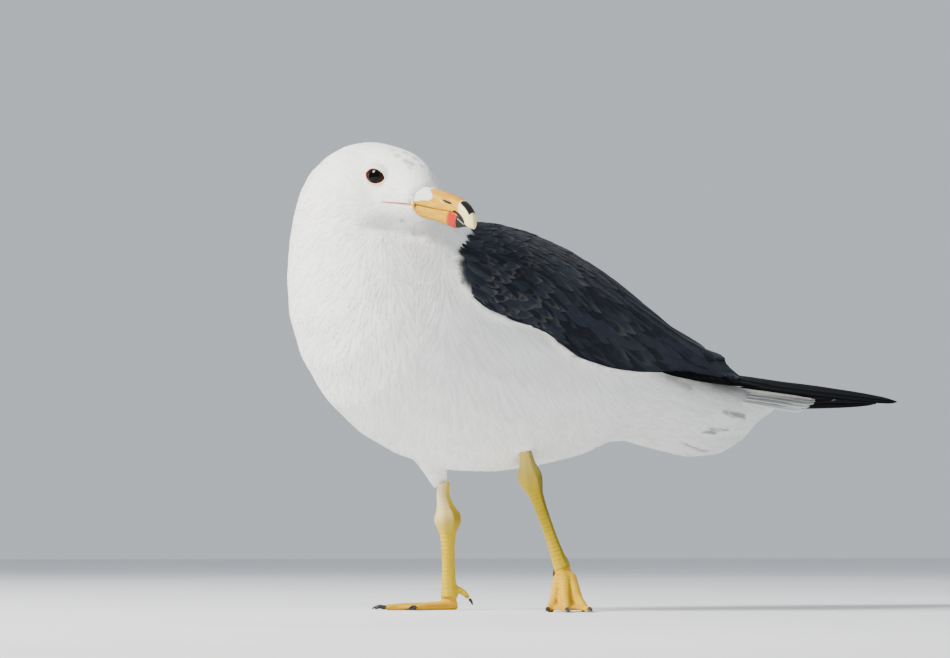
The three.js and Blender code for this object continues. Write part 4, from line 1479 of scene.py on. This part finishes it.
# one half of the bill as rows from the head forward, each from the left edge over to the right and back
def billHalf(ridge, edge, half, hollow):
    steps, around = billPlan["steps"], billPlan["around"]
    top = courseThrough(ridge, steps)
    low = courseThrough(edge, steps)
    wide = courseThrough(np.stack([half, half], 1), steps)[:, 0]
    angle = np.linspace(0, math.pi, around)
    sideways = np.sign(np.cos(angle)) * np.abs(np.cos(angle)) ** 0.8
    rise = np.abs(np.sin(angle)) ** 0.78
    back = np.linspace(-1, 1, 13)[1:-1]
    sideways = np.concatenate([sideways, back * 0.98])
    rise = np.concatenate([rise, hollow * (1 - back ** 2)])
    share = np.broadcast_to(rise, (steps, len(rise)))
    along = low[:, None, 0] + (top - low)[:, None, 0] * rise
    up = low[:, None, 1] + (top - low)[:, None, 1] * rise
    across = wide[:, None] * sideways
    return np.stack([along, across, up], -1), share, np.linalg.norm(top - low, axis=1)


def nostrilAt(places):
    x, z, length, height = billPlan["nostril"]
    along = (places[..., 0] - x) / length
    off = (places[..., 2] - z + 0.05 * (places[..., 0] - x)) / height
    return np.exp(-along ** 4 - off ** 2) * (np.abs(places[..., 1]) > 2)


# the loral feathers' front edge: how far forward they reach at each height on the bill's side
def loralFront(up):
    return np.interp(up, (-10.5, -9.0, -6.4, -5.0, -3.6, -1.6, 0.4), (26, 31, 39, 45, 46.5, 44.5, 40.5))


def billMaterial():
    material, sheet, shader = newMaterial("bill")
    tint = tints(billColours)
    streak = sheet.noise(1.0, 4.0, sheet.add("ShaderNodeCombineXYZ", {
        0: sheet.math("MULTIPLY", sheet.value("along"), 0.10),
        1: sheet.math("MULTIPLY", sheet.value("share"), 7.0),
        2: 0.0}).outputs[0])
    cloud = sheet.noise(320.0, 3.0, sheet.place())
    base = sheet.mix(sheet.span(streak, 0.35, 0.7), tint["yellow"], tint["orange"])
    base = sheet.mix(sheet.math("MULTIPLY", sheet.value("warm"), 0.6), base, tint["orange"])
    fray = sheet.math("MULTIPLY", sheet.math("SUBTRACT", cloud, 0.5), 0.22)
    for key, (low, high) in billSpans.items():
        edge = sheet.math("ADD", sheet.value(key), fray)
        base = sheet.mix(sheet.span(edge, low, high), base, tint[key])
    sheet.fill(shader, {
        "Base Color": base,
        "Roughness": sheet.span(streak, 0.2, 0.8, 0.34, 0.5),
        "Specular IOR Level": 0.2,
        "Coat Weight": 0.08,
        "Coat Roughness": 0.25,
    })
    height = sheet.math("ADD", sheet.math("MULTIPLY", streak, 0.7), sheet.math("MULTIPLY", cloud, 0.3))
    roughen(sheet, shader, 0.35, 0.3, height)
    return material


def billMarks(places, share, depth, isUpper):
    x, z = places[..., 0], places[..., 2]
    below = (1 - share) * depth[:, None]
    zeros = np.zeros_like(x)
    if isUpper:
        hook = ramp(x + 0.35 * (z + 8), 67.5, 73.0)
        culmen = ramp(x, 66.5, 70.5) * (1 - ramp(x, 77.0, 79.6)) * (1 - ramp(below, 0.5, 2.3))
        lip = (1 - ramp(share * depth[:, None], 0.9, 2.4)) * ramp(x, 63.5, 67.5) * (1 - ramp(x, 74, 77.5))
        marks = {"cream": hook, "band": np.maximum(culmen, lip), "bandHighlight": zeros, "spot": zeros,
                 "warm": (1 - ramp(below, 0.6, 3.4)) * ramp(x, 36, 50)}
        marks["under"] = ramp(loralFront(z) - x, 0.2, 1.2) * (z > -9.6)
        marks["olive"] = 0.8 * (1 - ramp(share * depth[:, None], 0.2, 1.0)) * (1 - ramp(x, 44, 60))
        # the nostril's hollow is painted dark: painted shade
        marks["nostril"] = nostrilAt(places)
    else:
        slant = x - 0.18 * (z + 13.5)
        spot = ramp(slant, 57.0, 63.5) * (1 - ramp(slant, 66.8, 69.0))
        band = ramp(slant, 66.4, 69.2)
        # a painted highlight: a light grey streak along the black band of the lower half
        grey = np.exp(-((z + 11.6 + 0.5 * (x - 70)) / 0.6) ** 2)
        grey = grey * ramp(x, 68.2, 69.4) * (1 - ramp(x, 73.5, 75))
        # the lower half turns deeper orange towards its underside, so that its middle is lighter: partly its
        # own colour, partly a painted highlight
        marks = {"spot": spot, "band": band, "bandHighlight": grey * 0.9, "cream": zeros, "nostril": zeros,
                 "warm": 0.8 * ramp(share, 0.7, 1.0), "under": ramp(33.4 - x, 0, 1.2)}
        marks["olive"] = 0.55 * (1 - ramp(share * depth[:, None], 0.2, 0.9)) * (1 - ramp(x, 42, 60))
    return marks


def buildBill():
    material = billMaterial()
    for name, isUpper in (("upper", True), ("lower", False)):
        if isUpper:
            places, share, depth = billHalf(billPlan["culmen"], billPlan["edge"], billPlan["half"], 0.10)
            pit = nostrilAt(places) * billPlan["nostrilDepth"]
            # a shallow groove runs from the nostril back to the feathers
            groove = np.exp(-((places[..., 2] + 5.2) / 1.0) ** 2) * ramp(places[..., 0], 34, 44)
            groove = 0.22 * groove * (1 - ramp(places[..., 0], 62, 68))
            # under its feathers the base is a little wider
            cover = ramp(loralFront(places[..., 2]) - places[..., 0], 0.5, 9.0) * (places[..., 2] > -10.2)
            places[..., 1] -= np.sign(places[..., 1]) * (pit + groove - 0.1 * cover)
        else:
            places, share, depth = billHalf(billPlan["jawLow"], billPlan["jawTop"], billPlan["jawHalf"], 0.03)
            groove = 0.2 * np.exp(-((places[..., 2] + 14.2) / 0.9) ** 2) * (1 - ramp(places[..., 0], 56, 64))
            places[..., 1] -= np.sign(places[..., 1]) * groove
        marks = billMarks(places, share, depth, isUpper)
        values = {key: value.ravel() for key, value in marks.items()}
        values["along"], values["share"] = places[..., 0].ravel(), share.ravel()
        rows, columns = places.shape[:2]
        faces = tube(rows, columns)
        if isUpper:
            faces = faces[:, ::-1]
        piece = makePiece("bill_skin_" + name, fromHead(places.reshape(-1, 3)), faces, values)
        finish(piece, material, "bill", "bill_" + name)
        if isUpper:
            growLoralFeathers(places, rows)
    print("bill built")


# the small feathers that run forward along the sides of the bill's base
def growLoralFeathers(places, rows):
    luck = np.random.default_rng(61)
    around = billPlan["around"]
    flat = places[:, :around]
    mesh = bpy.data.meshes.new("loral")
    grid = [(r * around + c, r * around + c + 1, (r + 1) * around + c + 1, (r + 1) * around + c)
            for r in range(rows - 1) for c in range(around - 1)]
    mesh.from_pydata(fromHead(flat.reshape(-1, 3)).tolist(), [], grid)
    tree = BVHTree.FromPolygons([v.co for v in mesh.vertices], grid)
    bpy.data.meshes.remove(mesh)
    roots = []
    for side in (1, -1):
        for x in np.arange(26.5, 50, 0.6):
            for z in np.arange(-10.0, 1.8, 0.6):
                x1, z1 = x + luck.uniform(-0.3, 0.3), z + luck.uniform(-0.3, 0.3)
                if x1 < loralFront(z1) + luck.uniform(-0.5, 0.3):
                    start = fromHead([x1, side * 16, z1])
                    hit = tree.ray_cast(Vector(start), Vector(headAxes[1] * -side))
                    if hit[0] is not None:
                        normal = np.array(hit[1])
                        normal = normal * np.sign(normal @ (headAxes[1] * side + headAxes[2] * 0.2))
                        roots.append((np.array(hit[0]), normal, side, z1))
    count, steps = len(roots), 5
    root = np.array([r[0] for r in roots])
    up = unit(np.array([r[1] for r in roots]))
    fan = np.array([r[3] for r in roots])
    way = -headAxes[0] + headAxes[2] * (0.14 * (fan + 4.5) / 4)[:, None] + luck.normal(0, 0.10, (count, 3))
    way = unit(way - up * (way * up).sum(1, keepdims=True))
    aside = np.cross(up, way)
    alongs = np.linspace(0, 1, steps)
    longs = luck.uniform(2.6, 3.8, count)
    half = luck.uniform(0.42, 0.6, count)[:, None] * np.array([0.5, 1.0, 0.95, 0.7, 0.15])[None] * mm
    lift = 0.08 + 0.5 * alongs ** 1.1
    centre = root[:, None] + way[:, None] * (longs[:, None] * alongs)[..., None] * mm
    centre = centre + up[:, None] * lift[None, :, None] * mm
    spread = np.broadcast_to(aside[:, None], centre.shape)
    upward = np.broadcast_to(up[:, None], centre.shape)
    across = np.array([-1.0, 0.0, 1.0])
    points, values = growVanes(centre, spread, upward, half, across, alongs, 0.2)
    values["tone"] = np.repeat(luck.uniform(-1, 1, count), steps * 3)
    print("lores", count, "feathers")
    normals = unit(upward[:, :, None] + spread[:, :, None] * across[None, None, :, None] * 0.15)
    near = surface.nearest(root)
    # they are shaded partly as the face behind them is
    facing = unit(surface.smooth(surface.normals, 8))[near][:, None, None]
    normals = unit(normals * 0.72 + facing * 0.28)
    piece = addCoat("coat_lores", points.reshape(-1, 3), values, vaneFaces(steps, 3, count),
                    patchesAt(near, across, alongs), normals.reshape(-1, 3))
    finish(piece, down, "white_feather")


buildBill()


# eyes: a ball with its iris, and the lids as a ring drawn from the ball out to the skin
eyeLooks = {
    "dark": "030202", "brown": "190803", "amber": "3E1E08", "outer": "090403",
    "ring": "9C2E1C", "ringPale": "DCC98F", "lidSkin": "F0EDE6", "gape": "A8492F", "gapeYellow": "D89A10",
}
# mm outside the lids' edge, and mm over the ball there
lidRows = ((-0.10, -0.25), (0.05, 0.10), (0.22, 0.34), (0.5, 0.50), (0.85, 0.52), (1.15, 0.40),
           (1.5, 0.26), (2.0, 0.14), (2.7, 0.02), (3.6, -0.15), (4.4, -0.35))


def eyeMaterial():
    material, sheet, shader = newMaterial("eye")
    tint = tints(eyeLooks)
    off, turn = sheet.value("off"), sheet.value("turn")
    rays = sheet.noise(1.0, 3.0, sheet.add("ShaderNodeCombineXYZ", {
        0: sheet.math("MULTIPLY", turn, 9.0), 1: sheet.math("MULTIPLY", off, 0.35), 2: 0.0}).outputs[0])
    # the iris is painted lighter amber at its lower front: painted light that falls in through the clear
    # front, opposite the highlight
    glow = sheet.math("MULTIPLY", sheet.span(off, 2.9, 4.9), sheet.value("litLowFront"))
    glow = sheet.math("MULTIPLY", glow, sheet.span(rays, 0.25, 0.7, 0.45, 1.0))
    base = sheet.mix(glow, tint["brown"], tint["amber"])
    base = sheet.mix(sheet.span(rays, 0.35, 0.75, 0.0, 0.35), base, tint["dark"])
    pupil, iris = eyePlan["pupil"], eyePlan["iris"]
    base = sheet.mix(sheet.span(off, pupil + 0.35, pupil + 0.05), base, tint["dark"])
    base = sheet.mix(sheet.span(off, iris - 0.4, iris + 0.1), base, tint["outer"])
    sheet.fill(shader, {
        "Base Color": base,
        "Roughness": sheet.span(rays, 0.0, 1.0, 0.10, 0.16),
        "Specular IOR Level": 0.0,
        "Coat Weight": 0.25,
        "Coat Roughness": 0.02,
    })
    roughen(sheet, shader, 0.1, 0.1, rays)
    return material


def bareMaterial():
    material, sheet, shader = newMaterial("lid")
    tint = tints(eyeLooks)
    fine = sheet.noise(2600.0, 3.0, sheet.place())
    base = sheet.mix(sheet.value("red"), tint["lidSkin"], tint["ring"])
    base = sheet.mix(sheet.value("paleRing"), base, tint["ringPale"])
    base = sheet.mix(sheet.value("gape"), base, tint["gape"])
    base = sheet.mix(sheet.value("gapeFront"), base, tint["gapeYellow"])
    base = sheet.mix(sheet.span(fine, 0.4, 0.7, 0.0, 0.3), base, tint["brown"])
    sheet.fill(shader, {"Base Color": base, "Roughness": sheet.span(fine, 0.3, 0.7, 0.42, 0.6)})
    roughen(sheet, shader, 0.3, 0.2, fine)
    return material


def buildEyeball(name, side, material):
    centre, ahead, up, out = eyeFrame(side)
    tilt = np.radians(np.concatenate([np.linspace(0.5, 60, 60), np.linspace(65, 172, 22)]))
    turn = np.linspace(0, 2 * math.pi, 72, endpoint=False)
    reach = eyePlan["radius"] + eyePlan["cornea"] * (1 - ramp(np.degrees(tilt), 22, 42))
    ring = np.cos(turn)[:, None] * ahead + np.sin(turn)[:, None] * up
    ways = np.cos(tilt)[:, None, None] * out + np.sin(tilt)[:, None, None] * ring
    places = centre + reach[:, None, None] * ways
    off = np.broadcast_to((eyePlan["radius"] * np.sin(tilt))[:, None], places.shape[:2])
    off = np.where(tilt[:, None] > math.pi / 2, 8.0, off)
    # where the iris is painted lit
    litLowFront = 0.15 + 0.85 * ramp(np.cos(turn + math.radians(48)), -0.3, 0.9)
    values = {"off": off.ravel(), "turn": np.broadcast_to(turn, off.shape).ravel(),
              "litLowFront": np.broadcast_to(litLowFront, off.shape).ravel()}
    faces = tube(*places.shape[:2])
    if side > 0:
        faces = faces[:, ::-1]
    piece = makePiece("eyeball_" + name, fromHead(places.reshape(-1, 3)), faces, values)
    finish(piece, material, "eye", "eye_" + name)


def buildLids(name, side, material):
    centre, ahead, up, out = eyeFrame(side)
    turn = np.linspace(0, 2 * math.pi, 84, endpoint=False)
    edgeA, edgeB = lidEdge(turn)
    awayA, awayB = np.cos(turn), np.sin(turn) * 1.15
    long = np.hypot(awayA, awayB)
    rimDeep = eyeBallAt(edgeA, edgeB)
    rows, marks = [], []
    for away, over in lidRows:
        a, b = edgeA + awayA / long * away, edgeB + awayB / long * away
        deep = rimDeep + over
        if away > 1.0:
            spots = fromHead(centre + a[:, None] * ahead + b[:, None] * up + 14 * out)
            ground = []
            for spot in spots:
                hit = surface.faces.ray_cast(Vector(spot), Vector(-out @ headAxes))
                ground.append(14 - hit[3] / mm)
            deep = deep + (np.array(ground) + over + eyePlan["dip"] * 0.5 - deep) * ramp(away, 1.0, 4.0)
        wrinkle = 0.05 * np.sin(turn * 26 + away * 4) * ramp(away, 0.1, 0.5)
        rows.append(centre + a[:, None] * ahead + b[:, None] * up + (deep + wrinkle)[:, None] * out)
        marks.append(np.full(len(turn), away))
    places, away = np.array(rows), np.array(marks)
    backTop = 0.35 + 0.65 * ramp(np.cos(turn - math.radians(165)), -0.2, 0.8)
    below = ramp(-np.sin(turn), 0.2, 0.8) * (np.cos(turn) > -0.75)
    red = backTop[None] * (1 - ramp(away, 0.45, 1.0))
    pale = below[None] * ramp(away, 0.25, 0.5) * (1 - ramp(away, 0.9, 1.5))
    values = {"red": red.ravel(), "paleRing": pale.ravel(), "gape": np.zeros(away.size)}
    faces = tube(*away.shape, closeEnds=False)
    if side > 0:
        faces = faces[:, ::-1]
    piece = makePiece("lids_" + name, fromHead(places.reshape(-1, 3)), faces, values)
    finish(piece, material, "leg_skin")


# the thin red line of the gape, from the bill back under the eye
def buildGape(name, side, material):
    course = courseThrough(((34, -10.3), (27, -11.0), (20, -12.1), (15, -12.9), (12.2, -13.4)), 40)
    inward = Vector(headAxes[1] * -side)
    middles = []
    for x, z in course:
        hit = surface.faces.ray_cast(Vector(fromHead([min(x, 24), side * 32, z])), inward)
        out = toHead(np.array(hit[0]))[1] + side * 0.38
        # ahead of the skin's edge it lies on the bill
        middles.append([x, out + (side * 9.0 - out) * ramp(x, 24, 33), z])
    middles = np.array(middles)
    front = ramp(course[:, 0], 26, 32)
    thick = 0.42 * (0.35 + 0.65 * ramp(np.linspace(1, 0, len(course)), 0, 0.8)) + 0.55 * front
    turn = np.linspace(0, 2 * math.pi, 8, endpoint=False)
    ring = np.stack([turn * 0, np.cos(turn) * 0.7, np.sin(turn)], -1)
    places = middles[:, None] + ring[None] * thick[:, None, None]
    rows, columns = places.shape[:2]
    zeros = np.zeros(rows * columns)
    values = {"red": zeros, "paleRing": zeros, "gape": zeros + 1, "gapeFront": np.repeat(front, columns)}
    faces = tube(rows, columns)[:, ::-1]
    piece = makePiece("gape_" + name, fromHead(places.reshape(-1, 3)), faces, values)
    finish(piece, material, "leg_skin")


def buildFace():
    ball, lid = eyeMaterial(), bareMaterial()
    for name, side in (("left", 1), ("right", -1)):
        buildEyeball(name, side, ball)
        buildLids(name, side, lid)
        buildGape(name, side, lid)
    print("eyes and lids built")


buildFace()


# bare legs: one skin from the feathering to the toes, with scutes down its front and across the toes
legPlan = {
    "voxel": 0.5,         # mm
    "swell": 0.32,
    "smoothing": 9,
    "filler": ((-1.2, 4.7), (2.2, 5.2), (5.0, 5.0)),  # mm over the joint and radius
    "scute": 2.6,         # mm from one scute of the shank to the next
    "toeScute": 1.75,
    "scuteHeight": 0.2,
    "clawVoxel": 0.3,
    "clawSwell": 0.2,
    "clawSmoothing": 3,
}
legColours = {
    "yellow": "CCAC00", "warm": "D6A000", "olive": "4E4A08", "cream": "E6D8B0", "line": "6A5208",
    "claw": "1C1917", "clawWorn": "5A5148",
}


def hornGrain():
    sheet, given, out = newGroup(
        "hornGrain", [("Scale", "Float", 300.0)], [("Streak", "Float"), ("Fleck", "Float")])
    where = sheet.add("ShaderNodeTexCoord").outputs["Object"]
    sheet.give(out["Streak"], sheet.add("ShaderNodeTexNoise", {
        "Vector": sheet.place((1, 1, 0.3)), "Scale": given["Scale"], "Detail": 4.0}).outputs["Fac"])
    sheet.give(out["Fleck"], sheet.add("ShaderNodeTexNoise", {
        "Vector": where, "Scale": sheet.math("MULTIPLY", given["Scale"], 4.0), "Detail": 2.0}).outputs["Fac"])
    return sheet.tree


def legMaterial(grain):
    material, sheet, shader = newMaterial("leg")
    tint = tints(legColours)
    noise = useGroup(sheet, grain, {"Scale": 130.0})
    values = {"Vector": sheet.place(), "Scale": 1050.0}
    cells = sheet.add("ShaderNodeTexVoronoi", values, feature="DISTANCE_TO_EDGE")
    joint = sheet.span(cells.outputs["Distance"], 0.0, 0.12)
    base = sheet.mix(sheet.value("warm"), tint["yellow"], tint["warm"])
    base = sheet.mix(sheet.value("cream"), base, tint["cream"])
    # the olive mask is partly painted shade on the rear side of the shanks
    shade = sheet.math("MULTIPLY", sheet.value("olive"), sheet.span(noise["Streak"], 0.25, 0.65, 0.5, 1.0))
    base = sheet.mix(shade, base, tint["olive"])
    base = sheet.mix(sheet.span(noise["Streak"], 0.5, 0.8, 0.0, 0.25), base, tint["olive"])
    base = sheet.mix(sheet.value("line"), base, tint["line"])
    base = sheet.mix(sheet.math("SUBTRACT", 0.22, sheet.math("MULTIPLY", joint, 0.22)), base, tint["line"])
    rough = sheet.span(noise["Fleck"], 0.3, 0.7, 0.45, 0.6)
    sheet.fill(shader, {"Base Color": base, "Roughness": rough, "Specular IOR Level": 0.25})
    height = sheet.math("ADD", joint, sheet.math("MULTIPLY", noise["Fleck"], 0.3))
    roughen(sheet, shader, 0.4, 0.2, height)
    return material


def clawMaterial(grain):
    material, sheet, shader = newMaterial("claw")
    noise = useGroup(sheet, grain, {"Scale": 500.0})
    horn, worn = colour(legColours["claw"]), colour(legColours["clawWorn"])
    base = sheet.mix(sheet.span(noise["Streak"], 0.45, 0.8), horn, worn)
    sheet.fill(shader, {"Base Color": base, "Roughness": sheet.span(noise["Fleck"], 0.3, 0.7, 0.3, 0.45)})
    roughen(sheet, shader, 0.2, 0.2, noise["Streak"])
    return material


# scutes overlap like tiles: each rises slowly and ends in a step, with a dark line under it
def scutes(reach, size):
    turn = (reach / size) % 1
    return turn, np.exp(-((turn - 0.96) / 0.09) ** 2) + np.exp(-((turn + 0.04) / 0.09) ** 2)


def legPlaces(name):
    foot = pointsOf(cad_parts["foot_" + name].data) / mm
    shank = pointsOf(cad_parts["tarsus_" + name].data) / mm
    joint = foot[foot[:, 2] > foot[:, 2].max() - 3].mean(0)
    ankle = shank[shank[:, 2] > shank[:, 2].max() - 5].mean(0)
    toes = [middle(f"claw_{toe}_{name}") / mm for toe in ("inner", "middle", "outer")]
    return joint, ankle, toes


def buildLeg(name, side, material):
    nodes = [part + "_" + name for part in ("tibia", "tarsus", "foot", "hind_toe")]
    joint, ankle, toes = legPlaces(name)
    axis, whole = unit(ankle - joint), np.linalg.norm(ankle - joint)
    balls = [((joint + axis * reach) * mm, radius * mm) for reach, radius in legPlan["filler"]]
    piece = remeshed("leg_" + name, nodes, legPlan["voxel"] * mm, legPlan["swell"] * mm, balls)
    leg = Surface(piece.data)
    fine = leg.smooth(leg.points, legPlan["smoothing"]) / mm
    even = leg.smooth(leg.points, 3 * legPlan["smoothing"]) / mm
    onlyShank = ramp((fine - joint) @ axis, -6, 0)[:, None]
    points = fine + (even - fine) * onlyShank
    # the top goes in under the feathers
    points[:, 1] -= side * 5 * ramp((points - joint) @ axis, whole + 14, whole + 26)
    heading = unit((toes[1] - joint) * [1, 1, 0])
    front = unit(heading - axis * (heading @ axis))
    normals = unit(leg.smooth(leg.normals, 4))
    reach = (points - joint) @ axis
    facing = normals @ front
    onShank = ramp(reach, 2, 7) * (1 - ramp(reach, whole - 9, whole - 4))
    step, line = scutes(reach + 0.25 * facing, legPlan["scute"])
    onFront = onShank * ramp(facing, 0.15, 0.5)
    raised = onFront * (1 - step) * legPlan["scuteHeight"]
    lines = onFront * line * 0.3
    web = np.zeros(len(points))
    for toe in toes:
        run = unit((toe - joint) * [1, 1, 0])
        away = (points - joint) * [1, 1, 0]
        along = away @ run
        beside = np.linalg.norm(away - along[:, None] * run, axis=1)
        onToe = (1 - ramp(beside, 1.3, 2.2)) * ramp(along, 2, 5) * (normals[:, 2] > 0.1) * (reach < 12)
        step, line = scutes(along, legPlan["toeScute"])
        raised = np.maximum(raised, onToe * (1 - step) * legPlan["scuteHeight"] * 0.8)
        lines = np.maximum(lines, onToe * line * 0.45)
        web = np.maximum(web, onToe)
    # the fold across the foot where the toes start
    low = 1 - ramp(reach, -1, 4)
    fold = np.exp(-((reach - 1.5 - 0.25 * facing) / 0.5) ** 2) * ramp(facing, 0.0, 0.4)
    raised = raised - 0.1 * fold
    lines = np.maximum(lines, fold * 0.45)
    points = points + normals * raised[:, None]
    points[:, 2] = np.maximum(points[:, 2], 0.0)
    setPoints(piece.data, points * mm)
    atAnkle = np.exp(-((reach - whole - 2) / 9) ** 2)
    above = ramp(reach, whole - 12, whole + 14)
    pale = (0.75 if side < 0 else 0.25) * above * ramp(facing + 0.3, 0, 0.9)
    # the rear side of each shank is olive: partly the skin's own olive, partly painted shade of that side;
    # round the ankle it is the skin's own olive
    shadedRear = ramp(0.4 * normals[:, 1] * side - normals[:, 0], 0.15, 0.95)
    olive = np.maximum(0.95 * shadedRear * (1 - low), 0.5 * atAnkle * ramp(-facing, -0.5, 0.5))
    values = {"line": lines, "warm": low * (1 - 0.6 * web), "cream": pale, "olive": olive}
    keepValues(piece.data, values)
    finish(piece, material, "leg_skin", *nodes)


def buildClaw(node, material):
    piece = remeshed(node + "_horn", [node], legPlan["clawVoxel"] * mm, legPlan["clawSwell"] * mm)
    claw = Surface(piece.data)
    points = claw.smooth(claw.points, legPlan["clawSmoothing"])
    points[:, 2] = np.maximum(points[:, 2], 0.0)
    setPoints(piece.data, points)
    finish(piece, material, "claw", node)


def buildLegs():
    grain = hornGrain()
    skinFinish, horn = legMaterial(grain), clawMaterial(grain)
    for name, side in (("left", 1), ("right", -1)):
        buildLeg(name, side, skinFinish)
        for toe in ("hind_claw", "claw_inner", "claw_middle", "claw_outer"):
            buildClaw(toe + "_" + name, horn)
    print("legs built")


buildLegs()


# floor, light and camera
studio = {
    "distance": 1.85,      # m from the bird's middle
    "height": 0.035,
    "lens": 114.0,         # mm, on a 36 mm wide film
    "pitch": 4.26,         # degrees up
    "yaw": 0.48,
    "bearing": 56.0,       # degrees from the way the body faces, to its left
    "floor": "F0F1F1",
    "floorShade": "D9DADC",
    "floorHalf": 14.0,
    "back": "D3DAE2",
    "backStrength": 0.85,
}
lamps = {
    # m towards the camera, to its right and up from the bird's middle; size in m, watts and tint
    "key": (1.0, -1.9, 1.45, 0.9, 180.0, (1.0, 0.97, 0.92)),
    "fill": (1.6, 1.6, 0.9, 1.6, 6.0, (0.86, 0.92, 1.0)),
    "rim": (-1.8, -0.6, 1.8, 1.2, 10.0, (0.9, 0.95, 1.0)),
}


def buildFloor():
    half = studio["floorHalf"]
    floor = makePiece("floor", [(-half, -half, 0), (half, -half, 0), (half, half, 0), (-half, half, 0)],
                      [(0, 1, 2, 3)])
    material, sheet, shader = newMaterial("floor")
    cloud = sheet.noise(3.0, 2.0, sheet.place())
    grey = sheet.mix(cloud, colour(studio["floor"]), colour(studio["floorShade"]))
    sheet.fill(shader, {"Base Color": grey, "Roughness": 0.8})
    floor.data.materials.append(material)


def addLamp(name, place, aim, size, power, tint):
    lamp = bpy.data.lights.new(name, "AREA")
    lamp.shape = "DISK"
    lamp.size = size
    lamp.energy = power
    lamp.color = tint
    holder = bpy.data.objects.new(name, lamp)
    holder.location = place
    holder.rotation_euler = (Vector(aim) - Vector(place)).to_track_quat("-Z", "Y").to_euler()
    bpy.context.scene.collection.objects.link(holder)


def buildStudio():
    buildFloor()
    bearing = math.radians(studio["bearing"])
    toCamera = Vector((math.cos(bearing), math.sin(bearing), 0))
    toRight = Vector((-toCamera.y, toCamera.x, 0))
    middlePoint = Vector((bodyMiddle[0], bodyMiddle[1], 0.17))
    for name, (near, right, up, size, power, tint) in lamps.items():
        place = middlePoint + toCamera * near + toRight * right + Vector((0, 0, up))
        addLamp(name, place, middlePoint, size, power, tint)
    world = bpy.data.worlds.new("studio")
    world.use_nodes = True
    back = world.node_tree.nodes["Background"].inputs
    back["Color"].default_value = colour(studio["back"])
    back["Strength"].default_value = studio["backStrength"]
    bpy.context.scene.world = world
    camera = bpy.data.objects.new("camera", bpy.data.cameras.new("camera"))
    camera.data.lens = studio["lens"]
    camera.data.sensor_width = 36.0
    camera.data.clip_end = 50
    camera.location = Vector((bodyMiddle[0], bodyMiddle[1], studio["height"])) + toCamera * studio["distance"]
    yaw, pitch = math.radians(studio["yaw"]), math.radians(studio["pitch"])
    look = -toCamera * math.cos(yaw) - toRight * math.sin(yaw)
    look = look * math.cos(pitch) + Vector((0, 0, math.sin(pitch)))
    camera.rotation_euler = look.to_track_quat("-Z", "Y").to_euler()
    bpy.context.scene.collection.objects.link(camera)
    bpy.context.scene.camera = camera


buildStudio()
print("studio ready")
